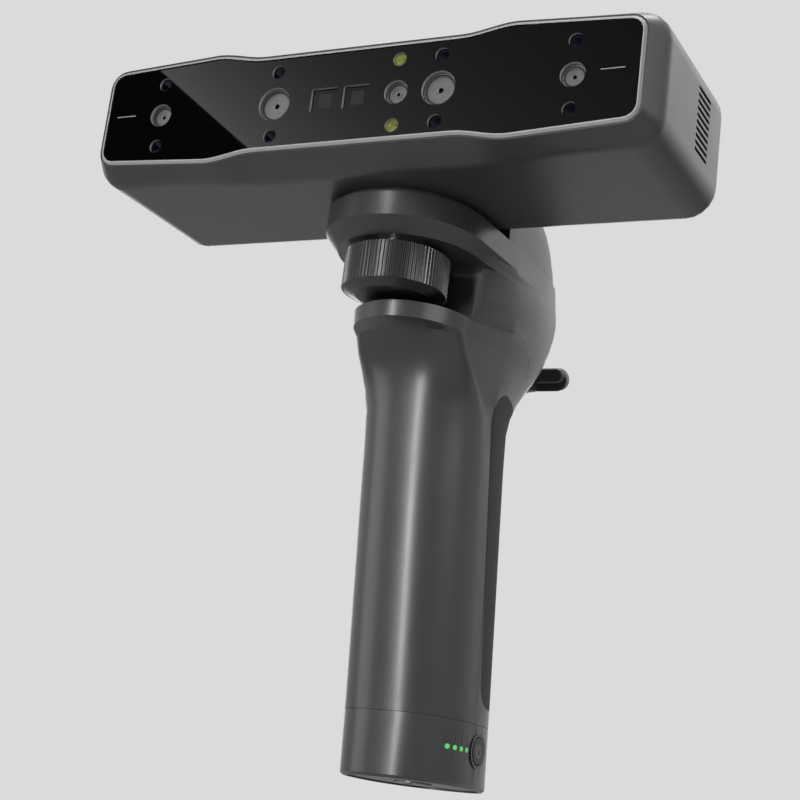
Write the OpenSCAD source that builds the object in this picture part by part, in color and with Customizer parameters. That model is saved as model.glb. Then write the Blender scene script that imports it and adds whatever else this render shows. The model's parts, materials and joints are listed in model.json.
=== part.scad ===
// Handheld three-dimensional scanner: a wide camera head, held by one thumb screw on the
// C-shaped yoke of a battery handle that also carries a spring clamp for a telephone.
// Millimetres, +Z up, the cameras look along -Y, and +X is the end with the status lights.
// Origin: centre of the handle's bottom face, on the axis of its tripod thread.

/* [Scanner head] */
// overall width of the head
head_width = 205; // [200:1:210]
// depth of the head from its front rim to its rear face
head_depth = 68; // [66:0.5:71]
// height of the head's body
head_height = 45.2; // [44.6:0.1:47]
// wall of the head's shell
head_wall = 2.4; // [2:0.1:2.7]
// distance between the outer pair of lenses
outer_baseline = 150; // [147:1:153]
// distance between the inner pair of lenses
inner_baseline = 60; // [59:0.5:62]
// number of cooling slots in each end of the head
vent_count = 10; // [6:1:11]

/* [Handle] */
// height of the handle from its bottom face to the top of its yoke
handle_height = 184.8; // [182:0.2:188]
// width of the grip
grip_width = 45.2; // [44.8:0.1:46.6]
// depth of the grip from front to back
grip_depth = 55.2; // [54.8:0.1:56.4]
// distance of the clamp screw ahead of the origin
clamp_reach = 58.6; // [57.8:0.1:59.2]
// wall of the grip's shell
grip_wall = 2.4; // [2:0.1:2.7]
// height of the separate cap at the bottom of the grip
cap_height = 21.6; // [21.4:0.2:23]

/* [Thumb screw] */
// radius over the knurl
knob_radius = 17.9; // [17:0.1:18.2]
// height of the knurled band
knob_band = 12.8; // [12:0.1:13]
// number of knurl ridges round the knob
knurl_count = 84; // [60:1:96]
// radius of the clamp stud
stud_radius = 3.1; // [3:0.05:3.2]
// height of the open slot in which the knob turns
slot_height = 18.8; // [18.6:0.1:19.6]

/* [Telephone clamp] */
// half length of the two jaw bars
jaw_half = 20; // [17:0.5:21]
// opening between the jaws when the clamp is shut
jaw_gap = 70.5; // [69.5:0.5:72]
// lean of the telephone's back from upright, in degrees
clamp_lean = 20; // [19:0.5:21]

/* [Fits] */
// gap between pieces that seat on each other
seat = 0.05; // [0.03:0.01:0.08]
// gap round pieces that move
play = 0.35; // [0.3:0.05:0.4]

/* [Hidden] */
$fn = 48;

// one overrun serves every cut
cut = 1;

// colours of the finishes
graphite = [0.24, 0.24, 0.25];
dark_graphite = [0.16, 0.16, 0.17];
near_black = [0.05, 0.05, 0.055];
rubber_brown = [0.17, 0.155, 0.155];
pale_metal = [0.62, 0.63, 0.64];
steel = [0.5, 0.5, 0.52];
brass = [0.72, 0.58, 0.32];
board_green = [0.05, 0.22, 0.12];
cell_blue = [0.12, 0.2, 0.42];
clear_glass = [0.6, 0.68, 0.72];
lamp_blue = [0.05, 0.06, 0.25];
lamp_yellow = [0.62, 0.66, 0.2];
led_green = [0.2, 0.85, 0.25];

// the grip's half sizes, which the shares of its skin follow
grip_half = grip_width / 2;
depth_half = grip_depth / 2;

// Each row is one level of the handle's skin. As shares: the level's height, then the front,
// the shoulder's place out and back, the ridge's place out and back, and the rear.
// The last two values are the powers of the front and the rear curve.
skin_shares = [
    [0, -1.02, 0.99, -0.04, 1, 0.01, 1.02, 2.4, 2.4],
    [0.133, -1.1, 1, -0.145, 1.01, -0.105, 0.905, 2.4, 2.4],
    [0.325, -1.255, 0.995, -0.29, 1.005, -0.257, 0.76, 2.4, 2.4],
    [0.487, -1.385, 0.99, -0.435, 1, -0.395, 0.638, 2.4, 2.4],
    [0.6, -1.47, 0.985, -0.545, 1, -0.49, 0.545, 2.4, 2.4],
    [0.671, -1.53, 0.975, -0.65, 1.005, -0.555, 0.515, 2.4, 2.4],
    [0.709, -1.58, 0.955, -0.9, 1.025, -0.615, 0.555, 2.4, 2.6],
    [0.741, -1.65, 0.94, -1.16, 1.055, -0.65, 0.645, 2.4, 2.9],
    [0.768, -1.76, 0.925, -1.375, 1.085, -0.67, 0.77, 2.35, 3.2],
    [0.793, -1.98, 0.905, -1.48, 1.115, -0.69, 0.89, 2.1, 3.5],
    [0.8, -2.295, 0.905, -1.5, 1.127, -0.695, 0.93, 1.9, 3.6],
    [0.83, -2.3, 0.935, -1.48, 1.175, -0.7, 1.06, 1.9, 3.9],
    [0.877, -2.39, 1.044, -1.46, 1.24, -0.7, 1.2, 2, 4],
    [0.909, -2.535, 1.097, -1.52, 1.275, -0.7, 1.26, 2, 4],
    [0.932, -2.73, 1.124, -1.7, 1.29, -0.75, 1.28, 2.1, 4],
    [0.945, -2.86, 1.186, -1.79, 1.29, -0.8, 1.283, 2.1, 4],
    [0.956, -2.964, 1.248, -1.81, 1.29, -0.9, 1.275, 2.15, 4],
    [1, -2.964, 1.248, -1.81, 1.285, -0.9, 1.16, 2.15, 4]];

// the same for the clamp's body, which stands on the yoke behind the head
clamp_shares = [
    [1, -2, 1.2, -1.81, 1.265, -0.9, 1.13, 2, 4],
    [1.03, -2, 1.2, -1.81, 1.26, -0.9, 1.02, 2, 4],
    [1.063, -2, 1.2, -1.81, 1.255, -0.9, 0.85, 2, 4],
    [1.089, -2, 1.19, -1.81, 1.235, -0.9, 0.67, 2, 4],
    [1.103, -2, 1.16, -1.81, 1.205, -0.9, 0.55, 2, 4],
    [1.11, -2, 1.11, -1.81, 1.15, -0.9, 0.45, 2, 4]];
front_steps = 12;
rear_steps = 12;

// yoke: the knob's slot, and the seam between yoke and grip in side view
platform_height = 12.6;
slot_top = handle_height - platform_height;
slot_floor = slot_top - slot_height;
slot_back_low = -39;
slot_back_high = -40.5;
slot_edge_low = 20;
slot_edge_high = 23.5;
slot_edge_slope = 1.25;
slot_corner = 3;
pocket_gap = 2.2;
seam_drop = 48.8;
seam_turn = [-14, handle_height - seam_drop];
seam_reach = 22.6;
seam_rise = 21;
seam_gap = 0.12;
seam_steps = 10;
stud_hole = stud_radius + play;

// head: its place on the yoke
pad_height = 2;
pad_inset = 2.6;
pad_margin = 7;
screw_back = -clamp_reach;
screw_depth = 44.4;
head_front = screw_back - screw_depth;
head_rear = head_front + head_depth;
pad_rear = head_rear - pad_margin;
head_low = handle_height + pad_height;
head_mid = head_low + head_height / 2;
lens_drop = 0.4;

// head: outlines of the rim and of the body behind it
rim_margin = 4.9;
rim_half = head_width / 2 - rim_margin;
rim_corner = 5.6;
body_corner = 10;
rear_corner = 4;
waist_share = 0.754;
shoulder_share = 0.865;
tip_share = 0.759;
waist_end_share = 0.37;
shoulder_at_share = 0.56;
crease_turn_share = 0.78;
waist_steps = 6;
taper_steps = 4;
corner_steps = 5;
round_steps = 4;
crease_deep = 14;
crease_shallow = 8.5;
crease_soft = 2.4;
rim_wide = 1.2;
rim_ledge = 1.7;
rim_deep = 3.2;
rim_bevel = 0.8;
rim_border = 0.6;
cavity_front = 15.5;

// head: glass panel and what shines through it
glass_thick = 1.4;
glass_recess = 0.5;
glass_back = glass_recess + glass_thick;
outer_hole = 4.15;
inner_hole = 5.9;
lamp_rise = 11.5;
lamp_hole = 2.4;
lamp_recess = 0.3;
lamp_flange = 0.3;
flange_thick = 0.8;
colour_place = inner_baseline / 4;
window_places = [-11.4, 0.5];
window_width = 9.4;
window_height = 8;
window_inner = 5;
window_sink = 0.5;
behind_glass = glass_back + 0.3;
behind_flange = glass_back + flange_thick + 0.3;

// head: lens barrels, as x place and radius of the hole in the glass
outer_left = [-outer_baseline / 2, outer_hole];
outer_right = [outer_baseline / 2, outer_hole];
inner_left = [-inner_baseline / 2, inner_hole];
inner_right = [inner_baseline / 2, inner_hole];
colour = [colour_place, outer_hole];
cameras = [outer_left, outer_right, inner_left, inner_right, colour];
barrel_wall = 1.4;
pocket_inset = 0.6;
throat_inset = 1.8;
neck_inset = 0.5;
pocket_deep = 3.2;
lens_thick = 2;
lens_dome = 1.1;

// head: boards and bench
bench_front = 17;
bench_thick = 3;
bench_back = bench_front + bench_thick;
bench_margin = 12.5;
bench_half = head_width / 2 - bench_margin;
bench_tall = 14;
lamp_board_front = 11;
board_thick = 1.2;
lamp_board_margin = 18.5;
lamp_board_half = head_width / 2 - lamp_board_margin;
lamp_board_tall = 14.2;
stem_radius = 1.9;
post_radius = 2.2;
post_places = [44, 62];
post_drop = 9.5;
neck_reach = 2;
neck_end = bench_back + neck_reach;
sensor_half = 6.4;
main_front = 30;
main_half = 60;
main_tall = 14;
main_post_place = 52;
main_post_drop = 11;
sink_near = 18;
sink_far = 58;
sink_tall = 11;
sink_base = 2;
sink_height = 12;
fin_count = 9;
fin_thick = 1.2;

// head: shell's inner posts and screws
bench_post = 3.4;
bench_post_margin = 16.5;
bench_post_place = head_width / 2 - bench_post_margin;
bench_post_drop = 9.5;
screw_head = 2.6;
screw_head_tall = 1.6;
screw_shank = 1.3;
screw_long = 8;
driver_radius = 0.9;
driver_deep = 0.8;

// head: rear cover
cover_margin = 23.5;
cover_half = head_width / 2 - cover_margin;
cover_tall = 17.4;
cover_corner = 4;
cover_thick = 1.4;
opening_margin = 9;
opening_half = cover_half - opening_margin;
opening_tall = 14.5;
cover_screw_margin = 4.5;
cover_screw = [cover_half - cover_screw_margin, 9];
boss_radius = 3;
boss_long = 5;
button_place = [0, -3];
button_radius = 6.7;
button_flange = 1.5;
flange_tall = 1;
button_proud = 0.6;
button_travel = 0.5;
inlet_place = [46, -3];
inlet_width = 9;
inlet_height = 3.2;
inlet_wall = 0.35;
inlet_deep = 5;
inlet_sink = 0.4;
inlet_tongue = [6.4, 0.7];
rear_board_sink = 8;
rear_board = head_depth - rear_board_sink;
rear_board_ends = [-18, 54];
rear_board_tall = 8;
rear_post_places = [-14, 30];

// head: vents, screens and fan
vent_margin = 16;
vent_long = 13;
vent_rear = head_depth - vent_margin;
vent_front = vent_rear - vent_long;
vent_span = 22.1;
vent_slot = 1.25;
vent_rise = 1.05;
screen_thick = 1.2;
screen_margin = 2.2;
screen_edge = 0.45;
screen_slots = 5;
screen_bar = 1.1;
fan_size = 25;
fan_thick = 7;
fan_bore = 11.7;
fan_hub = 5.4;
fan_blades = 7;
blade_thick = 0.8;
blade_pitch = 32;
spider_thick = 1.2;
spider_arm = 1.6;
pin_radius = 1;
pin_gap = 0.05;
fan_corner = 10.2;

// head: insert for the clamp stud
insert_radius = 5.2;
insert_long = 11;
insert_boss = 8.6;
insert_gap = 0.05;

// knob
washer_radius = 9;
washer_thick = 1.2;
washer_gap = 0.3;
hub_tall = 0.9;
hub_radius = 10;
knurl_deep = 0.45;
cone_tall = 1.8;
cone_inset = 4.9;
cone_step = 0.6;
stud_sink = 3;
stud_reach = 10;
stud_tip = 0.8;

// telephone clamp, in its own leaning frame: along the telephone's back and out from it
clamp_drop = 8.8;
clamp_back_share = 1.3225;
clamp_origin = [clamp_back_share * depth_half, handle_height - clamp_drop];
jaw_low = 20.8;
jaw_high = jaw_gap - jaw_low;
arm_half = 8;
arm_thick = 3.5;
bar_height = 9;
bar_near = 8.5;
bar_deep = 6;
root_near = -29;
root_deep = 5;
root_top = -10;
tongue_half = 13;
tongue_near = -20;
tongue_deep = 3.6;
tongue_low = 2;
tongue_room = 4;
channel_top = 70;
jaw_pad_thick = 1;
jaw_pad_half = 7.4;
jaw_pad_near = -4;
rest_half = 14;
rest_low = -9;
rest_high = 7;
rest_deep = 6;
clamp_gap = 3;
clamp_front = head_rear + clamp_gap;
clamp_screw_margin = 8;
clamp_screw_place = [17.5, clamp_front + clamp_screw_margin];
clamp_screw_sink = 4;
clamp_screw_long = 12;

// grip
rubber_deep = 1.6;
rubber_rise = 6;
rubber_low = cap_height + rubber_rise;
rubber_front_low = -2.2;
rubber_front_high = -19.2;
rubber_top = 1.5;
rubber_fall = 12;
rubber_line = [[rubber_front_low, rubber_low], [rubber_front_high, seam_turn[1] + rubber_top],
    [grip_depth, seam_turn[1] + rubber_top - rubber_fall], [grip_depth, rubber_low]];
rubber_corner = 9;
cavity_drop = 8;
cavity_top = seam_turn[1] - cavity_drop;
yoke_screw_places = [-22, -4];
yoke_screw_rise = 12;
yoke_screw_low = seam_turn[1] + yoke_screw_rise;
yoke_screw_long = 14;

// battery and board in the grip
lean_share = 0.118;
cell_radius = 9.1;
cell_rise = 10.4;
cell_low = cap_height + cell_rise;
cell_room = 31;
cell_long = cavity_top - cell_low - cell_room;
cell_back = -3.6;
holder_half = 11.2;
holder_wall = 1.4;
holder_end = 2;
holder_reach = 19;
holder_side = 8;
floor_thick = 2.4;
foot_radius = 3.4;
foot_places = [-18, 10];
cell_pitch = 19.2;
wire_hole = [10, 8];
handle_board_half = 8;

// base
cap_wall = 2.4;
cap_floor = 5;
cap_lip = 1.5;
cap_lip_wall = 1.5;
base_chamfer = 0.9;
base_sink = 0.6;
plate_thick = 2;
plate_inset = 2;
thread_radius = 3.175;
tripod_radius = 6.5;
tripod_long = 12;
tripod_wall = 2.9;
base_boss = 4;
base_screw_long = 12;
base_screw_sink = 0.4;
base_screw_places = [-20, 13];
charge_back = 20;
power_place = [0.3, 12.9];
bezel_radius = 5.9;
power_radius = 4.5;
bezel_flange = 1.2;
bezel_flange_thick = 1;
power_face = 22.9;
bezel_long = 3.8;
power_travel = 0.5;
power_flange = 5.6;
power_proud = 0.2;
cap_board_face = 14.5;
cap_board_ends = [-20, 7];
cap_board_top = 19;
light_first = -8;
light_pitch = 3.37;
light_count = 4;
light_height = 12.45;
light_radius = 0.85;
light_proud = 0.12;

// smooth step from nought to one
function ease(t) = let(u = min(1, max(0, t))) u * u * (3 - 2 * u);

// half of a skin ring, from the front's middle round the right side to the rear's middle
function skin_half(level, inset, shares) =
    let(v = [for (k = [1:8]) lookup(level / handle_height, [for (s = shares) [s[0], s[k]]])],
        front = v[0] * depth_half + inset,
        shoulder = [v[1] * grip_half - inset, v[2] * depth_half],
        ridge = [v[3] * grip_half - inset, v[4] * depth_half],
        rear = v[5] * depth_half - inset)
    concat(
        [for (i = [0:front_steps]) let(a = 90 * i / front_steps)
            [shoulder[0] * pow(sin(a), 2 / v[6]),
             shoulder[1] - (shoulder[1] - front) * pow(cos(a), 2 / v[6])]],
        [for (i = [0:rear_steps]) let(a = 90 * i / rear_steps)
            [ridge[0] * pow(cos(a), 2 / v[7]),
             ridge[1] + (rear - ridge[1]) * pow(sin(a), 2 / v[7])]]);

// a closed ring from its right half, whose first and last points lie on the middle plane
function both_sides(half) =
    concat(half, [for (i = [len(half) - 2:-1:1]) [-half[i][0], half[i][1]]]);

function at_level(ring, level) = [for (p = ring) [p[0], p[1], level]];

function skin_ring(level, inset, shares) = at_level(both_sides(skin_half(level, inset, shares)), level);

// the skin's levels between two heights, both ends included
function levels(low, high, shares) =
    concat([low],
        [for (s = shares) if (s[0] * handle_height > low + seat && s[0] * handle_height < high - seat)
            s[0] * handle_height],
        [high]);

// the triangles of an end face, as strips between points that mirror each other; turn is the
// place that mirrors the first point, and flip turns the face over
function end_face(n, first, turn, flip) =
    [for (k = [0:n - 1]) let(a = k, b = (k + 1) % n, c = (turn - k - 1 + n) % n, d = (turn - k + n) % n)
        if (a < c) each [for (t = concat(b == c ? [] : [[a, b, c]], a == d ? [] : [[a, c, d]]))
            [for (i = flip ? [2, 1, 0] : [0, 1, 2]) first + t[i]]]];

// a solid between rings that all have as many points, counter-clockwise from above
module loft(rings, turn = 0) {
    n = len(rings[0]);
    m = len(rings);
    points = [for (r = rings) for (p = r) p];
    sides = [for (k = [0:m - 2]) for (i = [0:n - 1])
        let(j = (i + 1) % n, a = k * n + i, b = k * n + j, c = a + n, d = b + n)
        each [[a, c, d], [a, d, b]]];
    polyhedron(points, concat(sides, end_face(n, 0, turn, false), end_face(n, (m - 1) * n, turn, true)),
        convexity = 8);
}

module skin(low, high, inset = 0, shares = skin_shares) {
    loft([for (z = levels(low, high, shares)) skin_ring(z, inset, shares)]);
}

// the room inside a skin, which runs straight on past its high end and, if open, its low end
module skin_room(low, high, inset, open = false) {
    rings = [for (z = levels(low, high, skin_shares)) skin_ring(z, inset, skin_shares)];
    loft(concat(open ? [at_level(rings[0], low - cut)] : [], rings,
        [at_level(rings[len(rings) - 1], high + cut)]));
}

// an outline of the side view, drawn as back and up, extruded across the handle
module across(width) {
    rotate([90, 0, 90]) linear_extrude(width, center = true) children();
}

module round_bar(half, height) {
    square([2 * (half - height / 2), height], center = true);
    for (side = [-1, 1]) translate([side * (half - height / 2), 0]) circle(height / 2);
}

module screw(long = screw_long, radius = screw_head) {
    difference() {
        cylinder(h = screw_head_tall, r = radius);
        translate([0, 0, -cut]) cylinder(h = driver_deep + cut, r = driver_radius, $fn = 6);
    }
    translate([0, 0, screw_head_tall]) cylinder(h = long, r = screw_shank);
}

// the frame of the head: x as before, y down, z from the front rim towards the rear
module in_head() {
    translate([0, head_front, head_mid]) rotate([-90, 0, 0]) children();
}

// the frame of the telephone clamp: y out from the telephone's back, z up along it
module in_clamp() {
    translate([0, clamp_origin[0], clamp_origin[1]]) rotate([clamp_lean, 0, 0]) children();
}

module at_lens(x, drop = 0) {
    translate([x, lens_drop + drop, 0]) children();
}

// half height of the rim at a share of its half length: a waist, then shoulders, then tips
function rim_rise(share) =
    let(full = head_height / 2)
    share < shoulder_at_share
        ? full * (waist_share + (shoulder_share - waist_share)
            * ease((share - waist_end_share) / (shoulder_at_share - waist_end_share)))
        : full * (shoulder_share + (tip_share - shoulder_share)
            * (share - shoulder_at_share) / (1 - shoulder_at_share));

// shares of the half length at which an outline has its points
edge_places = concat([0],
    [for (i = [0:waist_steps]) waist_end_share + (shoulder_at_share - waist_end_share) * i / waist_steps],
    [for (i = [1:taper_steps])
        shoulder_at_share + (crease_turn_share - shoulder_at_share) * i / taper_steps]);

// a quarter of an outline, from the top's middle to the end, with its corner rounded
function quarter(half, corner, inset, rises) =
    let(reach = half - corner, top = rises ? rim_rise(reach / half) : head_height / 2)
    concat(
        [for (e = concat(edge_places, [reach / half]))
            [e * half, (rises ? rim_rise(e) : head_height / 2) - inset]],
        [for (i = [1:corner_steps]) let(a = 90 - 90 * i / corner_steps)
            [reach + (corner - inset) * cos(a), top - corner + (corner - inset) * sin(a)]]);

// a whole outline from its quarter, from the top's middle down the right side
function four_quarters(q) =
    let(n = len(q) - 1)
    concat([for (i = [0:n]) [q[i][0], -q[i][1]]],
        [for (i = [n:-1:0]) [q[i][0], q[i][1]]],
        [for (i = [1:n]) [-q[i][0], q[i][1]]],
        [for (i = [n:-1:1]) [-q[i][0], -q[i][1]]]);

rim_turn = len(four_quarters(quarter(rim_half, rim_corner, 0, true))) / 2;

function rim_outline(inset = 0) = four_quarters(quarter(rim_half, rim_corner, inset, true));

function body_outline(inset = 0) = four_quarters(quarter(head_width / 2, body_corner, inset, false));

// depth of the crease behind the rim: deep at the waist, shallow past the shoulders
function crease(x) =
    let(share = abs(x) / (head_width / 2))
    crease_deep + (crease_shallow - crease_deep)
        * ease((share - waist_end_share) / (crease_turn_share - waist_end_share));

module rim_prism(inset, from, to) {
    translate([0, 0, from]) linear_extrude(to - from) polygon(rim_outline(inset));
}

module body_prism(inset, from, to) {
    translate([0, 0, from]) linear_extrude(to - from) polygon(body_outline(inset));
}

module front_rim() {
    color(pale_metal) in_head() difference() {
        loft([at_level(rim_outline(rim_bevel), 0), at_level(rim_outline(0), rim_bevel),
            at_level(rim_outline(0), rim_deep)], rim_turn);
        rim_prism(rim_wide, -cut, glass_back);
        rim_prism(rim_ledge, -cut, rim_deep + cut);
    }
}

module lamp_places() {
    for (c = [outer_left, outer_right, inner_left, inner_right]) for (side = [-1, 1])
        at_lens(c[0], side * lamp_rise) children();
}

module fill_places() {
    for (side = [-1, 1]) at_lens(colour_place, side * lamp_rise) children();
}

module front_glass() {
    color(near_black) in_head() difference() {
        rim_prism(rim_wide + seat, glass_recess, glass_back);
        for (c = cameras) at_lens(c[0]) cylinder(h = rim_deep, r = c[1]);
        lamp_places() cylinder(h = rim_deep, r = lamp_hole);
        fill_places() cylinder(h = rim_deep, r = lamp_hole);
        for (x = window_places) at_lens(x) centred_box(window_width, window_height, 0, rim_deep);
    }
}

// a lamp's window: a plug in the glass with a flange behind it
module lamp_cap() {
    front = glass_recess + lamp_recess;
    translate([0, 0, front]) cylinder(h = glass_back - front, r = lamp_hole - seat);
    translate([0, 0, glass_back]) cylinder(h = flange_thick, r = lamp_hole + lamp_flange);
}

module lamp_windows() {
    color(lamp_blue) in_head() lamp_places() lamp_cap();
}

module fill_lenses() {
    color(lamp_yellow) in_head() fill_places() lamp_cap();
}

module centred_box(width, height, from, to) {
    translate([-width / 2, -height / 2, from]) cube([width, height, to - from]);
}

module projector_windows() {
    front = glass_recess + lamp_recess;
    color(near_black) in_head() for (x = window_places) at_lens(x) difference() {
        union() {
            centred_box(window_width - 2 * seat, window_height - 2 * seat, front, glass_back);
            centred_box(window_width + 2 * lamp_flange, window_height + 2 * lamp_flange,
                glass_back, glass_back + flange_thick);
        }
        centred_box(window_inner, window_inner, front - cut, front + window_sink);
    }
}

// one lens barrel: pocket for its lens in front, throat behind, neck through the bench
module barrel(camera) {
    hole = camera[1];
    color(near_black) in_head() at_lens(camera[0]) rotate_extrude() polygon([
        [hole - throat_inset, behind_glass + pocket_deep],
        [hole - pocket_inset, behind_glass + pocket_deep],
        [hole - pocket_inset, behind_glass],
        [hole + barrel_wall, behind_glass],
        [hole + barrel_wall, bench_front],
        [hole - neck_inset, bench_front],
        [hole - neck_inset, neck_end],
        [hole - throat_inset, neck_end]]);
}

module outer_left_barrel() { barrel(outer_left); }

module outer_right_barrel() { barrel(outer_right); }

module inner_left_barrel() { barrel(inner_left); }

module inner_right_barrel() { barrel(inner_right); }

module colour_barrel() { barrel(colour); }

// one domed lens on the step of its barrel
module lens(camera) {
    radius = camera[1] - pocket_inset - seat;
    curve = (radius * radius + lens_dome * lens_dome) / (2 * lens_dome);
    back = behind_glass + pocket_deep;
    color(clear_glass) in_head() at_lens(camera[0]) intersection() {
        translate([0, 0, back - lens_thick]) cylinder(h = lens_thick, r = radius);
        translate([0, 0, back - lens_thick + curve]) sphere(curve);
    }
}

module outer_left_lens() { lens(outer_left); }

module outer_right_lens() { lens(outer_right); }

module inner_left_lens() { lens(inner_left); }

module inner_right_lens() { lens(inner_right); }

module colour_lens() { lens(colour); }

module projector_units() {
    color(steel) in_head() for (x = window_places) at_lens(x)
        centred_box(window_width, window_width, behind_flange, bench_front);
}

module lamp_stem() {
    translate([0, 0, behind_flange]) cylinder(h = lamp_board_front - behind_flange, r = stem_radius);
}

module lamp_board() {
    color(board_green) in_head() {
        difference() {
            centred_box(2 * lamp_board_half, 2 * lamp_board_tall, lamp_board_front,
                lamp_board_front + board_thick);
            for (c = cameras) at_lens(c[0]) translate([0, 0, lamp_board_front - cut])
                cylinder(h = board_thick + 2 * cut, r = c[1] + barrel_wall + play);
            for (x = window_places) at_lens(x) centred_box(window_width + 2 * play, window_width + 2 * play,
                lamp_board_front - cut, lamp_board_front + board_thick + cut);
        }
        lamp_places() lamp_stem();
        fill_places() lamp_stem();
    }
}

module four_ways(x, y) {
    for (sx = [-1, 1]) for (sy = [-1, 1]) translate([sx * x, sy * y, 0]) children();
}

module optical_bench() {
    lamp_board_back = lamp_board_front + board_thick;
    color(pale_metal) in_head() {
        difference() {
            centred_box(2 * bench_half, 2 * bench_tall, bench_front, bench_back);
            for (c = cameras) at_lens(c[0]) translate([0, 0, bench_front - cut])
                cylinder(h = bench_thick + 2 * cut, r = c[1] - neck_inset + seat);
            four_ways(bench_post_place, bench_post_drop) translate([0, 0, bench_front - cut])
                cylinder(h = bench_thick + 2 * cut, r = screw_shank + play);
        }
        for (x = post_places) four_ways(x, post_drop) translate([0, 0, lamp_board_back])
            cylinder(h = bench_front - lamp_board_back, r = post_radius);
        four_ways(main_post_place, main_post_drop) translate([0, 0, bench_back])
            cylinder(h = main_front - bench_back, r = post_radius);
    }
}

module bench_screws() {
    color(steel) in_head() four_ways(bench_post_place, bench_post_drop)
        translate([0, 0, bench_front - screw_head_tall]) screw();
}

module sensor_boards() {
    color(board_green) in_head() for (c = cameras) at_lens(c[0])
        centred_box(2 * sensor_half, 2 * sensor_half, neck_end, neck_end + board_thick);
}

module main_board() {
    color(board_green) in_head()
        centred_box(2 * main_half, 2 * main_tall, main_front, main_front + board_thick);
}

module heat_sink() {
    base = main_front + board_thick;
    pitch = (sink_far - sink_near - fin_thick) / (fin_count - 1);
    color(pale_metal) in_head() {
        translate([sink_near, -sink_tall, base]) cube([sink_far - sink_near, 2 * sink_tall, sink_base]);
        for (i = [0:fin_count - 1]) translate([sink_near + i * pitch, -sink_tall, base])
            cube([fin_thick, 2 * sink_tall, sink_height]);
    }
}

// the rows of cooling slots in one end, cut across the head's wall
module vent_slots(side) {
    pitch = (vent_span - vent_slot) / (vent_count - 1);
    inner = head_width / 2 - head_wall - screen_thick;
    for (i = [0:vent_count - 1])
        translate([side * (inner + head_wall), -vent_rise - vent_span / 2 + vent_slot / 2 + i * pitch,
            (vent_front + vent_rear) / 2])
            rotate([0, 90, 0]) linear_extrude(2 * head_wall, center = true)
                round_bar((vent_rear - vent_front) / 2, vent_slot);
}

module head_shell() {
    rear = head_depth - rear_corner;
    turns = [for (i = [0:round_steps]) 90 * i / round_steps];
    front_ring = at_level(rim_outline(-rim_border), rim_bevel);
    edge = [for (p = body_outline()) [p[0], p[1], crease(p[0])]];
    before = [for (i = [0:len(edge) - 1]) let(way = front_ring[i] - edge[i])
        edge[i] + crease_soft * way / norm(way)];
    after = [for (e = edge) e + [0, 0, crease_soft]];
    turned = [for (i = [0:len(edge) - 1]) (before[i] + after[i] + 2 * edge[i]) / 4];
    rear_rings = [for (a = turns)
        at_level(body_outline(rear_corner * (1 - cos(a))), rear + rear_corner * sin(a))];
    color(graphite) in_head() {
        difference() {
            loft(concat([front_ring, before, turned, after], rear_rings), rim_turn);
            rim_prism(-seat, -cut, rim_deep);
            rim_prism(rim_ledge, rim_deep - cut, cavity_front + cut);
            body_prism(head_wall, cavity_front, head_depth - head_wall);
            translate([0, 0, head_depth - cover_thick - seat]) linear_extrude(cover_thick + cut)
                rounded(cover_half + seat, cover_tall + seat, cover_corner);
            centred_box(2 * opening_half, 2 * opening_tall, head_depth - 2 * head_wall, head_depth + cut);
            for (side = [-1, 1]) vent_slots(side);
            cover_screw_holes(head_depth - head_wall - cut, screw_shank + seat);
            stud_way(head_height / 2 + cut, stud_hole);
        }
        four_ways(bench_post_place, bench_post_drop) difference() {
            translate([0, 0, bench_back])
                cylinder(h = head_depth - head_wall + seat - bench_back, r = bench_post);
            translate([0, 0, bench_back - cut]) cylinder(h = screw_long + cut, r = screw_shank + seat);
        }
        four_ways(cover_screw[0], cover_screw[1]) difference() {
            translate([0, 0, head_depth - head_wall - boss_long])
                cylinder(h = boss_long + seat, r = boss_radius);
            translate([0, 0, head_depth - head_wall - boss_long - cut])
                cylinder(h = boss_long + 2 * cut, r = screw_shank + seat);
        }
        difference() {
            stud_way(head_height / 2 - head_wall + seat, insert_boss);
            stud_way(head_height / 2 - head_wall + cut, insert_radius + seat, cut);
        }
    }
}

module rounded(x, y, corner) {
    square([2 * x, 2 * (y - corner)], center = true);
    square([2 * (x - corner), 2 * y], center = true);
    four_ways(x - corner, y - corner) circle(corner);
}

// a cylinder on the clamp screw's axis, from a place below the middle up to the insert's top
module stud_way(low, radius, over = 0) {
    top = head_height / 2 - head_wall - insert_long - over;
    translate([0, low, screw_depth]) rotate([90, 0, 0]) cylinder(h = low - top, r = radius);
}

module cover_screw_holes(from, radius) {
    four_ways(cover_screw[0], cover_screw[1]) translate([0, 0, from])
        cylinder(h = head_depth - from + cut, r = radius);
}

module head_insert() {
    low = head_height / 2 - head_wall;
    color(brass) in_head() translate([0, low, screw_depth]) rotate([90, 0, 0]) difference() {
        cylinder(h = insert_long, r = insert_radius);
        translate([0, 0, -cut]) cylinder(h = insert_long + 2 * cut, r = stud_radius + insert_gap);
    }
}

module at_place(place) {
    translate([place[0], place[1], 0]) children();
}

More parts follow.
